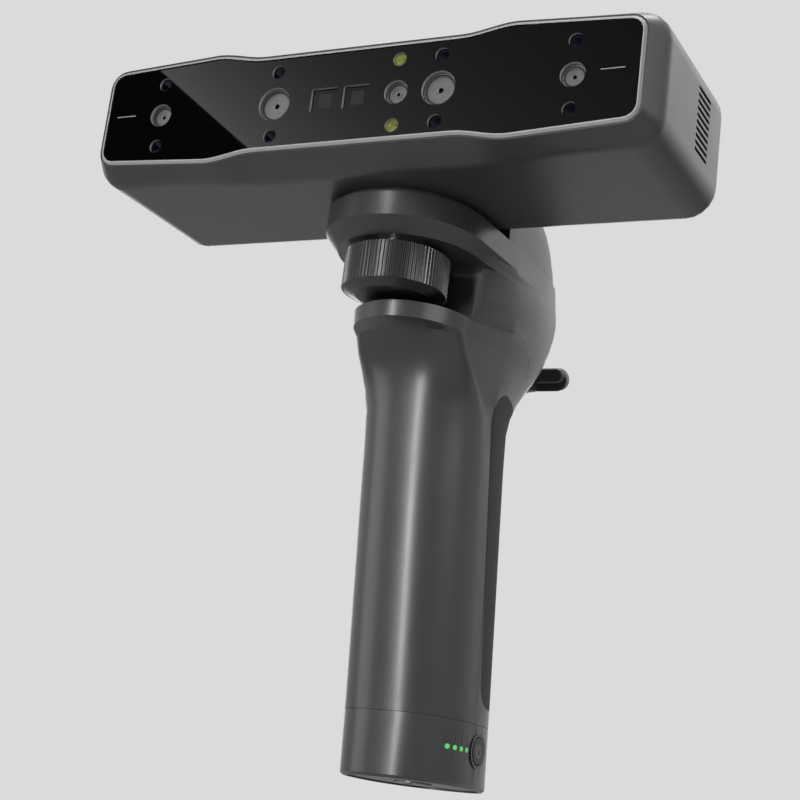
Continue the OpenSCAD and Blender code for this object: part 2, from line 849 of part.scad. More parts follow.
module back_cover() {
    face = head_depth - cover_thick;
    color(graphite) in_head() difference() {
        union() {
            translate([0, 0, face]) linear_extrude(cover_thick)
                rounded(cover_half, cover_tall, cover_corner);
            difference() {
                centred_box(2 * (opening_half - seat), 2 * (opening_tall - seat),
                    head_depth - head_wall, face);
                centred_box(2 * (opening_half - head_wall), 2 * (opening_tall - head_wall),
                    head_depth - head_wall - cut, face);
            }
            for (x = rear_post_places) translate([x, button_place[1], rear_board + board_thick])
                cylinder(h = face - rear_board - board_thick, r = post_radius);
        }
        at_place(button_place) translate([0, 0, face - cut])
            cylinder(h = cover_thick + 2 * cut, r = button_radius + play);
        at_place(inlet_place) translate([0, 0, face - cut]) socket_hole(cover_thick + 2 * cut);
        cover_screw_holes(face - cut, screw_shank + play);
        cover_screw_holes(head_depth - screw_head_tall / 2, screw_head + seat);
    }
}

module back_screws() {
    color(steel) in_head() four_ways(cover_screw[0], cover_screw[1]) {
        translate([0, 0, head_depth - screw_head_tall / 2]) difference() {
            cylinder(h = screw_head_tall / 2, r = screw_head);
            translate([0, 0, screw_head_tall / 2 - driver_deep / 2])
                cylinder(h = driver_deep, r = driver_radius, $fn = 6);
        }
        translate([0, 0, head_depth - head_wall - boss_long])
            cylinder(h = head_wall + boss_long - screw_head_tall / 2, r = screw_shank);
    }
}

module scan_button() {
    low = head_depth - cover_thick - seat - flange_tall;
    color(near_black) in_head() at_place(button_place) translate([0, 0, low]) {
        cylinder(h = head_depth + button_proud - low, r = button_radius);
        cylinder(h = flange_tall, r = button_radius + button_flange);
    }
}

module button_board() {
    nub = head_depth - cover_thick - seat - flange_tall - button_travel - play;
    color(board_green) in_head() {
        translate([rear_board_ends[0], button_place[1] - rear_board_tall, rear_board])
            cube([rear_board_ends[1] - rear_board_ends[0], 2 * rear_board_tall, board_thick]);
        at_place(button_place) translate([0, 0, rear_board])
            cylinder(h = nub - rear_board, r = post_radius);
    }
}

// a flat oval socket with its tongue, its mouth at the high end
module socket(long) {
    low = long - inlet_deep;
    difference() {
        linear_extrude(long) round_bar(inlet_width / 2, inlet_height);
        translate([0, 0, low]) linear_extrude(inlet_deep + cut)
            round_bar(inlet_width / 2 - inlet_wall, inlet_height - 2 * inlet_wall);
    }
    centred_box(inlet_tongue[0], inlet_tongue[1], low - inlet_wall, long - inlet_sink);
}

module socket_hole(long) {
    linear_extrude(long) round_bar(inlet_width / 2 + seat, inlet_height + 2 * seat);
}

module data_inlet() {
    base = rear_board + board_thick;
    color(steel) in_head() at_place(inlet_place) translate([0, 0, base])
        socket(head_depth - inlet_sink - base);
}

// a thin screen behind the slots of one end
module vent_screen(side) {
    inner = head_width / 2 - head_wall - screen_thick;
    tall = vent_span + 2 * screen_edge;
    deep = vent_rear - vent_front + 2 * screen_margin;
    pitch = (deep - screen_bar) / screen_slots;
    color(near_black) in_head()
        translate([side > 0 ? inner : -inner - screen_thick, -vent_rise - tall / 2,
            vent_front - screen_margin]) difference() {
            cube([screen_thick, tall, deep]);
            for (i = [0:screen_slots - 1]) translate([-cut, screen_bar, screen_bar + i * pitch])
                cube([screen_thick + 2 * cut, tall - 2 * screen_bar, pitch - screen_bar]);
        }
}

module vent_screen_left() { vent_screen(-1); }

module vent_screen_right() { vent_screen(1); }

// the fan's frame, its axis along x and its open face against the right screen
module in_fan() {
    outer = head_width / 2 - head_wall - screen_thick;
    translate([outer - fan_thick, -vent_rise, (vent_front + vent_rear) / 2]) rotate([0, 90, 0]) children();
}

module fan_frame() {
    color(near_black) in_head() in_fan() {
        difference() {
            centred_box(fan_size, fan_size, 0, fan_thick);
            translate([0, 0, -cut]) cylinder(h = fan_thick + 2 * cut, r = fan_bore);
            four_ways(fan_corner, fan_corner) translate([0, 0, -cut])
                cylinder(h = fan_thick + 2 * cut, r = screw_shank);
        }
        cylinder(h = spider_thick, r = fan_hub);
        for (i = [0:2]) rotate([0, 0, 30 + 120 * i]) translate([0, -spider_arm / 2, 0])
            cube([fan_bore + spider_arm / 2, spider_arm, spider_thick]);
        cylinder(h = fan_thick - 2 * spider_thick, r = pin_radius);
    }
}

module fan_rotor() {
    low = spider_thick + play;
    high = fan_thick - play;
    hub_rise = high - low;
    color(dark_graphite) in_head() in_fan() translate([0, 0, low]) difference() {
        union() {
            cylinder(h = hub_rise, r = fan_hub);
            intersection() {
                cylinder(h = hub_rise, r = fan_bore - play);
                for (i = [0:fan_blades - 1]) rotate([0, 0, 360 * i / fan_blades])
                    translate([0, 0, hub_rise / 2]) rotate([blade_pitch, 0, 0])
                        translate([0, -fan_hub / 2, -blade_thick / 2])
                            cube([fan_bore, fan_hub, blade_thick]);
            }
        }
        translate([0, 0, -cut])
            cylinder(h = fan_thick - 2 * spider_thick - low + play + cut, r = pin_radius + pin_gap);
    }
}

// the soft ring between head and yoke
module head_pad() {
    color(near_black) difference() {
        skin(handle_height, head_low, pad_inset);
        translate([-grip_width, pad_rear, handle_height - cut])
            cube([2 * grip_width, 2 * grip_depth, pad_height + 2 * cut]);
        on_screw(handle_height - cut) cylinder(h = pad_height + 2 * cut, r = stud_hole);
    }
}

module on_screw(level) {
    translate([0, screw_back, level]) children();
}

// side view of the seam, from the slot's floor back over the grip and down to the handle's rear
function seam_line(drop) = concat(
    [[slot_back_low, slot_floor]],
    [for (i = [0:seam_steps]) let(a = 90 - 90 * i / seam_steps)
        [seam_turn[0] + seam_reach * cos(a), seam_turn[1] - drop + seam_rise * sin(a)]],
    [[grip_depth, seam_turn[1] - drop]]);

// side view of the corner between the slot's ceiling and its slanted back
function slot_round() =
    let(slope = atan2(slot_height, slot_back_high - slot_back_low),
        turn = [slot_back_high - slot_corner / tan(slope / 2), slot_top - slot_corner])
    [for (i = [0:corner_steps]) let(a = 90 + (slope - 180) * i / corner_steps)
        [turn[0] + slot_corner * cos(a), turn[1] + slot_corner * sin(a)]];

// the sloped edges between the slot's back and the yoke's two sides
module slot_edges() {
    far = grip_width;
    ends = [[slot_floor - cut, slot_edge_low, slot_back_low], [slot_top, slot_edge_high, slot_back_high]];
    rings = [for (e = ends)
        [[e[1], e[2] - cut, e[0]], [far, e[2] - cut, e[0]],
        [far, e[2] + slot_edge_slope * (far - e[1]), e[0]], [e[1], e[2], e[0]]]];
    for (side = [0, 1]) mirror([side, 0, 0]) loft(rings, 3);
}

module knob_pocket() {
    on_screw(slot_floor) cylinder(h = slot_height, r = knob_radius + pocket_gap);
}

module leaning_box(half, near, far, low, high) {
    translate([-half, near, low]) cube([2 * half, far - near, high - low]);
}

// the way of the upper jaw's tongue through clamp body and yoke
module tongue_way() {
    in_clamp() leaning_box(tongue_half + play, tongue_near - play, tongue_near + tongue_deep + play,
        tongue_low - tongue_room, channel_top);
}

// the lower jaw's arm and root; grown, they are its seat in the yoke
module jaw_foot(grow) {
    leaning_box(arm_half + grow, root_near - grow, bar_near, -jaw_low - arm_thick - grow, -jaw_low + grow);
    leaning_box(arm_half + grow, root_near - grow, root_near + root_deep + grow,
        -jaw_low - arm_thick - grow, root_top + grow);
}

module yoke_screw_ways() {
    for (y = yoke_screw_places) translate([0, y, 0]) {
        translate([0, 0, cavity_top - cut])
            cylinder(h = yoke_screw_low - cavity_top + cut, r = screw_head + play);
        translate([0, 0, cavity_top]) cylinder(h = yoke_screw_low - cavity_top + yoke_screw_long + play,
            r = screw_shank + seat);
    }
}

module yoke() {
    wide = 2 * grip_width;
    far = -2 * grip_depth;
    side = concat(seam_line(0),
        [[grip_depth, handle_height + cut], [far, handle_height + cut], [far, slot_top]],
        slot_round());
    color(graphite) difference() {
        intersection() {
            skin(seam_turn[1] - cut, handle_height);
            across(wide) polygon(side);
        }
        knob_pocket();
        slot_edges();
        on_screw(slot_top - cut) cylinder(h = platform_height + 2 * cut, r = stud_hole);
        tongue_way();
        in_clamp() jaw_foot(seat);
        yoke_screw_ways();
        clamp_screw_ways();
    }
}

// knob: levels from the slot's ceiling down
washer_top = slot_top - washer_gap;
knob_top = washer_top - washer_thick;
band_top = knob_top - hub_tall;
band_low = band_top - knob_band;
knob_low = band_low - cone_tall;
stud_low = knob_low + stud_sink;
stud_top = head_low + stud_reach;

module thrust_washer() {
    color(steel) on_screw(knob_top) difference() {
        cylinder(h = washer_thick, r = washer_radius);
        translate([0, 0, -cut]) cylinder(h = washer_thick + 2 * cut, r = stud_radius + insert_gap);
    }
}

module knob() {
    root = knob_radius - knurl_deep;
    teeth = [for (i = [0:knurl_count - 1]) let(a = 360 / knurl_count)
        each [for (k = [0:3]) let(r = k == 1 || k == 2 ? knob_radius : root, t = a * (i + k / 4 + 1 / 8))
            [r * cos(t), r * sin(t)]]];
    color(pale_metal) on_screw(0) difference() {
        union() {
            translate([0, 0, band_low]) linear_extrude(knob_band) polygon(teeth);
            translate([0, 0, knob_low]) cylinder(h = cone_tall, r1 = knob_radius - cone_inset,
                r2 = knob_radius - cone_step);
            translate([0, 0, band_top]) cylinder(h = hub_tall, r = hub_radius);
        }
        translate([0, 0, stud_low]) cylinder(h = knob_top - stud_low + cut, r = stud_radius + seat);
    }
}

module clamp_stud() {
    color(steel) on_screw(stud_low) {
        cylinder(h = stud_top - stud_low - stud_tip, r = stud_radius);
        translate([0, 0, stud_top - stud_low - stud_tip])
            cylinder(h = stud_tip, r1 = stud_radius, r2 = stud_radius - stud_tip);
    }
}

// telephone clamp: its fixed body behind the head, and the ways of its two screws
module clamp_screw_ways() {
    base = handle_height + clamp_screw_sink;
    for (side = [-1, 1]) translate([side * clamp_screw_place[0], clamp_screw_place[1], base]) {
        translate([0, 0, -clamp_screw_long]) cylinder(h = clamp_screw_long + cut, r = screw_shank + seat);
        cylinder(h = grip_width, r = screw_head + seat);
    }
}

module clamp_screws() {
    base = handle_height + clamp_screw_sink + screw_head_tall;
    color(steel) for (side = [-1, 1])
        translate([side * clamp_screw_place[0], clamp_screw_place[1], base])
            rotate([180, 0, 0]) screw(clamp_screw_long);
}

module clamp_body() {
    top = clamp_shares[len(clamp_shares) - 1][0] * handle_height;
    color(near_black) difference() {
        skin(handle_height, top, 0, clamp_shares);
        translate([-grip_width, clamp_front - 2 * grip_depth, handle_height - cut])
            cube([2 * grip_width, 2 * grip_depth, 2 * head_height]);
        tongue_way();
        clamp_screw_ways();
    }
}

module jaw_bar(level) {
    translate([0, bar_near, level]) rotate([-90, 0, 0]) linear_extrude(bar_deep)
        round_bar(jaw_half, bar_height);
}

module upper_jaw() {
    color(graphite) in_clamp() {
        leaning_box(tongue_half, tongue_near, tongue_near + tongue_deep, tongue_low, jaw_high + arm_thick);
        leaning_box(arm_half, tongue_near, bar_near, jaw_high, jaw_high + arm_thick);
        jaw_bar(jaw_high + arm_thick - bar_height / 2);
    }
}

module lower_jaw() {
    color(graphite) in_clamp() {
        jaw_foot(0);
        jaw_bar(-jaw_low - arm_thick + bar_height / 2);
    }
}

module upper_pad() {
    color(rubber_brown) in_clamp()
        leaning_box(jaw_pad_half, jaw_pad_near, bar_near, jaw_high - jaw_pad_thick, jaw_high);
}

module lower_pad() {
    color(rubber_brown) in_clamp()
        leaning_box(jaw_pad_half, jaw_pad_near, bar_near, -jaw_low, -jaw_low + jaw_pad_thick);
}

// the pad that the telephone's back leans on, fitted to the yoke's rear
module rest_pad() {
    color(rubber_brown) difference() {
        in_clamp() leaning_box(rest_half, -rest_deep, -play, rest_low, rest_high);
        skin(slot_floor, handle_height);
    }
}

// grip: side view of the rubber panel, and the layer it fills in the grip's skin
module rubber_zone(low) {
    difference() {
        across(2 * grip_width) intersection() {
            offset(r = rubber_corner) offset(delta = -rubber_corner) polygon(rubber_line);
            translate([-grip_depth, low]) square([2 * grip_depth, handle_height]);
        }
        skin(cap_height, seam_turn[1], rubber_deep);
    }
}

module grip_shell() {
    inner = grip_wall + rubber_deep;
    side = concat([[-2 * grip_depth, slot_floor]], seam_line(seam_gap),
        [[grip_depth, tripod_long], [-2 * grip_depth, tripod_long]]);
    color(graphite) {
        difference() {
            intersection() {
                skin(cap_height, seam_turn[1] + seam_rise);
                across(2 * grip_width) polygon(side);
            }
            rubber_zone(cap_height);
            skin(cap_height + floor_thick, cavity_top, inner);
            knob_pocket();
            yoke_screw_ways();
            translate([-wire_hole[0] / 2, cell_back - wire_hole[1] / 2, cap_height - cut])
                cube([wire_hole[0], wire_hole[1], floor_thick + 2 * cut]);
        }
        difference() {
            skin(cap_height - cap_lip, cap_height + seat, cap_wall + seat);
            skin_room(cap_height - cap_lip, cap_height + seat, cap_wall + cap_lip_wall, true);
        }
        for (y = base_screw_places) translate([0, y, tripod_long]) difference() {
            cylinder(h = cap_height - tripod_long + seat, r = base_boss);
            translate([0, 0, -cut]) cylinder(h = base_screw_long, r = screw_shank + seat);
        }
    }
}

module rubber_grip() {
    color(rubber_brown) intersection() {
        skin(cap_height, seam_turn[1]);
        rubber_zone(cap_height);
    }
}

module yoke_screws() {
    color(steel) for (y = yoke_screw_places) translate([0, y, yoke_screw_low - screw_head_tall])
        screw(yoke_screw_long);
}

// battery: two cells lean with the grip in a holder that stands on the grip's floor
module in_lean() {
    translate([0, cell_back, cell_low]) rotate([atan(lean_share), 0, 0]) children();
}

module battery_cells() {
    color(cell_blue) in_lean() for (side = [-1, 1]) translate([0, side * cell_pitch / 2, 0])
        cylinder(h = cell_long, r = cell_radius);
}

module battery_holder() {
    base = cap_height + floor_thick;
    color(near_black) {
        in_lean() {
            for (level = [-holder_end, cell_long]) translate([-holder_half, -holder_reach, level])
                cube([2 * holder_half, 2 * holder_reach, holder_end]);
            for (side = [0, 1]) mirror([side, 0, 0])
                translate([holder_half - holder_wall, -holder_side, -holder_end])
                    cube([holder_wall, 2 * holder_side, cell_long + 2 * holder_end]);
        }
        for (y = foot_places) translate([0, y, base])
            cylinder(h = cell_low - holder_end / 2 + (y - cell_back) * lean_share - base, r = foot_radius);
    }
}

module handle_board() {
    color(board_green) in_lean()
        translate([-handle_board_half, -holder_reach - board_thick, -holder_end])
            cube([2 * handle_board_half, board_thick, cell_long + 2 * holder_end]);
}

// base: cap, plate, thread and screws
plate_top = base_sink + plate_thick;

module base_cap() {
    rings = concat([skin_ring(0, base_chamfer, skin_shares)],
        [for (z = levels(base_chamfer, cap_height - seam_gap, skin_shares)) skin_ring(z, 0, skin_shares)]);
    color(graphite) {
        difference() {
            loft(rings);
            skin_room(cap_floor, cap_height - seam_gap, cap_wall);
            plate_prism(-cut, plate_top, plate_inset - seat);
            cylinder(h = cap_height, r = tripod_radius + seat);
            base_screw_ways();
            at_place([0, charge_back]) socket_hole(cap_height);
            power_way(bezel_radius + seat, grip_half);
            power_way(bezel_radius + bezel_flange + seat,
                power_face - bezel_long + bezel_flange_thick + seat - cap_board_face);
            light_ways(light_radius + seat);
        }
        difference() {
            translate([0, 0, plate_top])
                cylinder(h = tripod_long - plate_top, r = tripod_radius + tripod_wall);
            cylinder(h = cap_height, r = tripod_radius + seat);
            base_screw_ways();
        }
        for (y = base_screw_places) difference() {
            translate([0, y, plate_top]) cylinder(h = tripod_long - plate_top, r = base_boss);
            base_screw_ways();
            cylinder(h = cap_height, r = tripod_radius + seat);
        }
    }
}

module plate_prism(from, to, inset) {
    translate([0, 0, from]) linear_extrude(to - from) polygon(both_sides(skin_half(0, inset, skin_shares)));
}

module base_screw_ways() {
    base = plate_top + base_screw_sink + screw_head_tall;
    for (y = base_screw_places) translate([0, y, 0]) {
        translate([0, 0, plate_top - cut]) cylinder(h = base - plate_top + cut, r = screw_head + seat);
        translate([0, 0, plate_top]) cylinder(h = tripod_long, r = screw_shank + play);
    }
}

module base_plate() {
    color(dark_graphite) difference() {
        plate_prism(base_sink, plate_top, plate_inset);
        cylinder(h = tripod_long, r = tripod_radius + seat);
        at_place([0, charge_back]) socket_hole(cap_height);
    }
}

module base_screws() {
    color(steel) for (y = base_screw_places) translate([0, y, plate_top + base_screw_sink])
        screw(base_screw_long);
}

module tripod_insert() {
    color(steel) difference() {
        cylinder(h = tripod_long, r = tripod_radius);
        translate([0, 0, -cut]) cylinder(h = tripod_long + 2 * cut, r = thread_radius);
    }
}

module charge_inlet() {
    long = inlet_deep + cap_wall;
    color(steel) translate([0, charge_back, base_sink + inlet_sink + long])
        rotate([180, 0, 0]) socket(long);
}

// power button and battery lights on the right side of the cap
module power_way(radius, long) {
    translate([cap_board_face, power_place[0], power_place[1]]) rotate([0, 90, 0])
        cylinder(h = long, r = radius);
}

function light_back(i) = light_first - i * light_pitch;

module light_ways(radius) {
    for (i = [0:light_count - 1]) translate([cap_board_face, light_back(i), light_height])
        rotate([0, 90, 0]) cylinder(h = grip_half, r = radius);
}

module cap_board() {
    nub = power_face - bezel_long - play - flange_tall - power_travel - play;
    color(board_green) {
        translate([cap_board_face - board_thick, cap_board_ends[0], cap_floor])
            cube([board_thick, cap_board_ends[1] - cap_board_ends[0], cap_board_top - cap_floor]);
        translate([cap_board_face - board_thick, power_place[0], power_place[1]]) rotate([0, 90, 0])
            cylinder(h = nub - cap_board_face + board_thick, r = post_radius);
    }
}

module power_bezel() {
    back = power_face - bezel_long;
    color(dark_graphite) translate([back, power_place[0], power_place[1]]) rotate([0, 90, 0]) difference() {
        union() {
            cylinder(h = bezel_long, r = bezel_radius);
            cylinder(h = bezel_flange_thick, r = bezel_radius + bezel_flange);
        }
        translate([0, 0, -cut]) cylinder(h = bezel_long + 2 * cut, r = power_radius + play);
    }
}

module power_button() {
    back = power_face - bezel_long - play - flange_tall;
    color(near_black) translate([back, power_place[0], power_place[1]]) rotate([0, 90, 0]) {
        cylinder(h = flange_tall, r = power_flange);
        cylinder(h = power_face + power_proud - back, r = power_radius);
    }
}

module charge_lights() {
    color(led_green) intersection() {
        light_ways(light_radius);
        skin(0, cap_height, -light_proud);
    }
}

front_rim();
front_glass();
lamp_windows();
fill_lenses();
projector_windows();
outer_left_barrel();
outer_right_barrel();
inner_left_barrel();
inner_right_barrel();
colour_barrel();
outer_left_lens();
outer_right_lens();
inner_left_lens();
inner_right_lens();
colour_lens();
projector_units();
lamp_board();
optical_bench();
bench_screws();
sensor_boards();
main_board();
heat_sink();
head_shell();
back_cover();
back_screws();
vent_screen_left();
vent_screen_right();
fan_frame();
fan_rotor();
scan_button();
button_board();
data_inlet();
head_insert();
head_pad();
yoke();
thrust_washer();
knob();
clamp_stud();
clamp_body();
clamp_screws();
upper_jaw();
upper_pad();
lower_jaw();
lower_pad();
rest_pad();
grip_shell();
rubber_grip();
yoke_screws();
battery_cells();
battery_holder();
handle_board();
base_cap();
base_plate();
base_screws();
tripod_insert();
charge_inlet();
cap_board();
power_bezel();
power_button();
charge_lights();
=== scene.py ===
import json
import math

import bmesh
import bpy
from mathutils import Matrix, Vector

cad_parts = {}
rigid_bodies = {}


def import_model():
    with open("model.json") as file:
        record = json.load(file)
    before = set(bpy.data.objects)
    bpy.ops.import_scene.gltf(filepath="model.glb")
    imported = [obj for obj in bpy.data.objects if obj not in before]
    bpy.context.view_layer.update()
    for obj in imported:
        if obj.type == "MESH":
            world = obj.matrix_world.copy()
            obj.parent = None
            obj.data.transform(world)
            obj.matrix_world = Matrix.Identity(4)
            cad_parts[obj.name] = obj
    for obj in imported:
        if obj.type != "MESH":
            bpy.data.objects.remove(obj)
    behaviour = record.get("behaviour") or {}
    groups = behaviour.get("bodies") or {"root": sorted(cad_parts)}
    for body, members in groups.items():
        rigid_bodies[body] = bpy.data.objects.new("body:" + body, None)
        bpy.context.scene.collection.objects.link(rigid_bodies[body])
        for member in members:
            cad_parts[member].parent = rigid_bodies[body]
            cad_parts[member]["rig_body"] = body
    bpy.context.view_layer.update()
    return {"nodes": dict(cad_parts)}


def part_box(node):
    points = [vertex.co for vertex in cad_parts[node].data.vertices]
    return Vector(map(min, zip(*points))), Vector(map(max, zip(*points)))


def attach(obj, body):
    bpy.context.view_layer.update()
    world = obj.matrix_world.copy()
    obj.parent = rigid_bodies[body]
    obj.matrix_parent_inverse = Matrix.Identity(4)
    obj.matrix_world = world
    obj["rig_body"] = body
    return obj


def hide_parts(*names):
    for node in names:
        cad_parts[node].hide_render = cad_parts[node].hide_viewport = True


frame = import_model()


# Camera. It stands to the right of the scanner and a little below it, less than 60 cm away,
# and looks up at the head along the photograph's own line of sight.
camera_place = Vector((0.25838, -0.53875, -0.02516))
camera_turn = Vector((-0.285504, 0.462024, 0.05877))
camera_lens = 76.67
camera_sensor = 36
camera_near, camera_far = 0.01, 30
level_view = Matrix(((1, 0, 0), (0, 0, -1), (0, 1, 0)))
look = Matrix.Rotation(camera_turn.length, 3, camera_turn) @ level_view
look_back = Matrix((look[0], -look[1], -look[2])).transposed()
camera_data = bpy.data.cameras.new("camera")
camera_data.lens = camera_lens
camera_data.sensor_width = camera_sensor
camera_data.clip_start = camera_near
camera_data.clip_end = camera_far
camera = bpy.data.objects.new("camera", camera_data)
camera.matrix_world = Matrix.Translation(camera_place) @ look_back.to_4x4()
bpy.context.scene.collection.objects.link(camera)
bpy.context.scene.camera = camera
bpy.context.scene.view_settings.view_transform = "Standard"


# Studio: a pale floor well below the scanner and a pale even background, a tall narrow lamp
# ahead, broad ones left, right and above, and weaker ones below and behind. A slanted black
# card and a fading softbox stand where the front glass mirrors them to the camera.
floor_drop = 0.28
floor_half = 6
floor_tone = (0.62, 0.62, 0.63, 1)
floor_rough = 0.9
floor_glow = 0.78
back_tone = (0.7, 0.71, 0.72, 1)
fill_tone = (0.24, 0.245, 0.255, 1)
lamps = [
    ("key_lamp", (-0.19, -1.33, 0.1), (0.0, -0.05, 0.1), (0.12, 1.0), 15),
    ("left_lamp", (-1.2, -0.75, 0.0), (0.0, -0.05, 0.1), (0.8, 1.0), 5),
    ("top_lamp", (0.15, 0.1, 1.35), (0.0, -0.05, 0.2), (1.0, 0.7), 10),
    ("side_lamp", (1.1, -0.42, 0.72), (0.0, -0.07, 0.2), (0.8, 0.8), 8),
    ("low_lamp", (0.45, -0.45, -0.9), (0.0, -0.05, 0.05), (0.7, 0.5), 3.4),
    ("rear_lamp", (0.45, 1.0, 0.75), (0.05, -0.05, 0.2), (0.8, 0.8), 1.1),
    ("back_lamp", (-0.65, 1.1, 0.5), (0.0, 0.0, 0.15), (0.9, 0.9), 4),
]
card_away = -1.0
card_low, card_high = 0.5, 0.9
card_left, card_right = -1.2, -0.05
slant_low, slant_high = -0.465, -0.968
flag_tone = (0.004, 0.004, 0.004, 1)
flag_rough = 1.0
softbox_fade = [(0.0, 1.35), (0.1, 0.72), (0.24, 0.34), (0.45, 0.17), (1.0, 0.1)]
softbox_reach = 1.0


def put(piece):
    """Puts a new piece in the scene."""
    bpy.context.scene.collection.objects.link(piece)
    return piece


def joined(tree, kind, inputs, **settings):
    """A shader node with its settings, its plain input values, and its linked inputs."""
    made = tree.nodes.new(kind)
    for name, value in settings.items():
        setattr(made, name, value)
    for name, value in inputs.items():
        if isinstance(value, bpy.types.NodeSocket):
            tree.links.new(value, made.inputs[name])
        else:
            made.inputs[name].default_value = value
    return made


def maths(tree, operation, *terms):
    """What a Math node makes of its terms."""
    return joined(tree, "ShaderNodeMath", dict(enumerate(terms)), operation=operation).outputs[0]


for name, place, target, size, power in lamps:
    lamp_data = bpy.data.lights.new(name, "AREA")
    lamp_data.shape = "RECTANGLE"
    lamp_data.size, lamp_data.size_y = size
    lamp_data.energy = power
    lamp = put(bpy.data.objects.new(name, lamp_data))
    lamp.location = place
    lamp.visible_camera = False
    lamp.rotation_euler = (Vector(target) - Vector(place)).to_track_quat("-Z", "Y").to_euler()

world = bpy.data.worlds.new("studio")
bpy.context.scene.world = world
world.use_nodes = True
tree = world.node_tree
tree.nodes.clear()
rays = tree.nodes.new("ShaderNodeLightPath")
seen = maths(tree, "MAXIMUM", rays.outputs["Is Camera Ray"], rays.outputs["Is Glossy Ray"])
through = maths(tree, "MAXIMUM", seen, rays.outputs["Is Transmission Ray"])
fill = joined(tree, "ShaderNodeBackground", {"Color": fill_tone})
pale = joined(tree, "ShaderNodeBackground", {"Color": back_tone})
choice = joined(tree, "ShaderNodeMixShader", {0: through, 1: fill.outputs[0], 2: pale.outputs[0]})
joined(tree, "ShaderNodeOutputWorld", {"Surface": choice.outputs[0]})

bm = bmesh.new()
bmesh.ops.create_grid(bm, x_segments=1, y_segments=1, size=floor_half,
                      matrix=Matrix.Translation((0, 0, -floor_drop)))
floor_mesh = bpy.data.meshes.new("floor")
bm.to_mesh(floor_mesh)
bm.free()
floor = put(bpy.data.objects.new("floor", floor_mesh))
floor_paint = bpy.data.materials.new("floor_paint")
floor_paint.use_nodes = True
tree = floor_paint.node_tree
matt = tree.nodes["Principled BSDF"]
matt.inputs["Base Color"].default_value = floor_tone
matt.inputs["Roughness"].default_value = floor_rough
rays = tree.nodes.new("ShaderNodeLightPath")
share = maths(tree, "MULTIPLY", rays.outputs["Is Camera Ray"], floor_glow)
even = joined(tree, "ShaderNodeEmission", {"Color": back_tone})
mixed = joined(tree, "ShaderNodeMixShader", {0: share, 1: matt.outputs[0], 2: even.outputs[0]})
tree.links.new(mixed.outputs[0], tree.nodes["Material Output"].inputs["Surface"])
floor_mesh.materials.append(floor_paint)


def unlit_group(label, *lamp_names):
    """A group for the things that the named lamps don't light."""
    group = bpy.data.collections.new(label)
    for name in lamp_names:
        bpy.data.objects[name].light_linking.receiver_collection = group
    return group


def keep_off(group, *pieces):
    """Keeps the lamps of a group off some pieces, so that they leave no hard image there."""
    for piece in pieces:
        group.objects.link(piece)
    for member in group.collection_objects:
        member.light_linking.link_state = "EXCLUDE"


off_key_lamp = unlit_group("not_lit_by_key_lamp", "key_lamp")
off_side_lamp = unlit_group("not_lit_by_side_lamp", "side_lamp")
off_low_lamps = unlit_group("lamps_off_the_floor", "left_lamp", "low_lamp")
keep_off(off_key_lamp, floor)
keep_off(off_low_lamps, floor)


def card(name, outline):
    """An upright card that shows in mirror images only, and its material's nodes."""
    mesh = bpy.data.meshes.new(name)
    mesh.from_pydata([(x, card_away, z) for x, z in outline], [], [range(len(outline))])
    piece = put(bpy.data.objects.new(name, mesh))
    piece.visible_camera = False
    paint = bpy.data.materials.new(name)
    paint.use_nodes = True
    mesh.materials.append(paint)
    return paint.node_tree


tree = card("flag_card", [
    (card_left, card_low), (slant_low, card_low), (slant_high, card_high), (card_left, card_high)])
black = tree.nodes["Principled BSDF"]
black.inputs["Base Color"].default_value = flag_tone
black.inputs["Roughness"].default_value = flag_rough

tree = card("softbox", [
    (slant_low, card_low), (card_right, card_low), (card_right, card_high), (slant_high, card_high)])
tree.nodes.clear()
slope = (slant_low - slant_high) / (card_high - card_low)
edge_at = slant_low + card_low * slope
brightest = softbox_fade[0][1]
place = tree.nodes.new("ShaderNodeTexCoord")
apart = joined(tree, "ShaderNodeSeparateXYZ", {0: place.outputs["Object"]})
across = maths(tree, "MULTIPLY_ADD", apart.outputs["Z"], slope, apart.outputs["X"])
span = joined(tree, "ShaderNodeMapRange", {
    "Value": across, "From Min": edge_at, "From Max": edge_at + softbox_reach})
fade = joined(tree, "ShaderNodeFloatCurve", {"Value": span.outputs["Result"]})
stops = fade.mapping.curves[0].points
for at, level in softbox_fade[1:-1]:
    stops.new(at, level / brightest)
stops[0].location = (0, 1)
stops[-1].location = (1, softbox_fade[-1][1] / brightest)
fade.mapping.update()
glow = joined(tree, "ShaderNodeEmission", {"Strength": maths(tree, "MULTIPLY", fade.outputs[0], brightest)})
joined(tree, "ShaderNodeOutputMaterial", {"Surface": glow.outputs[0]})


# Shell: the mouldings of head, yoke, grip and cap are glass-filled plastic with a satin
# graphite paint. The paint has a fine grain and the slight unevenness of a sprayed coat.
MM = 0.001
nodes = frame["nodes"]
socket_kinds = {"Vector": "NodeSocketVector", "Lines": "NodeSocketVector", "Tone": "NodeSocketColor"}


def finish_group(name, *extra):
    """A node group that varies a tone and a roughness over the surface, and what goes into it."""
    group = bpy.data.node_groups.new(name, "ShaderNodeTree")
    sockets = {"INPUT": ("Vector", "Tone", "Roughness", *extra), "OUTPUT": ("Tone", "Roughness", "Height")}
    for way, labels in sockets.items():
        for label in labels:
            kind = socket_kinds.get(label, "NodeSocketFloat")
            group.interface.new_socket(label, in_out=way, socket_type=kind)
    return group, group.nodes.new("NodeGroupInput").outputs


def scaled(tree, tone, share):
    """A tone made lighter or darker by a share."""
    return joined(tree, "ShaderNodeVectorMath", {0: tone, "Scale": share}, operation="SCALE").outputs[0]


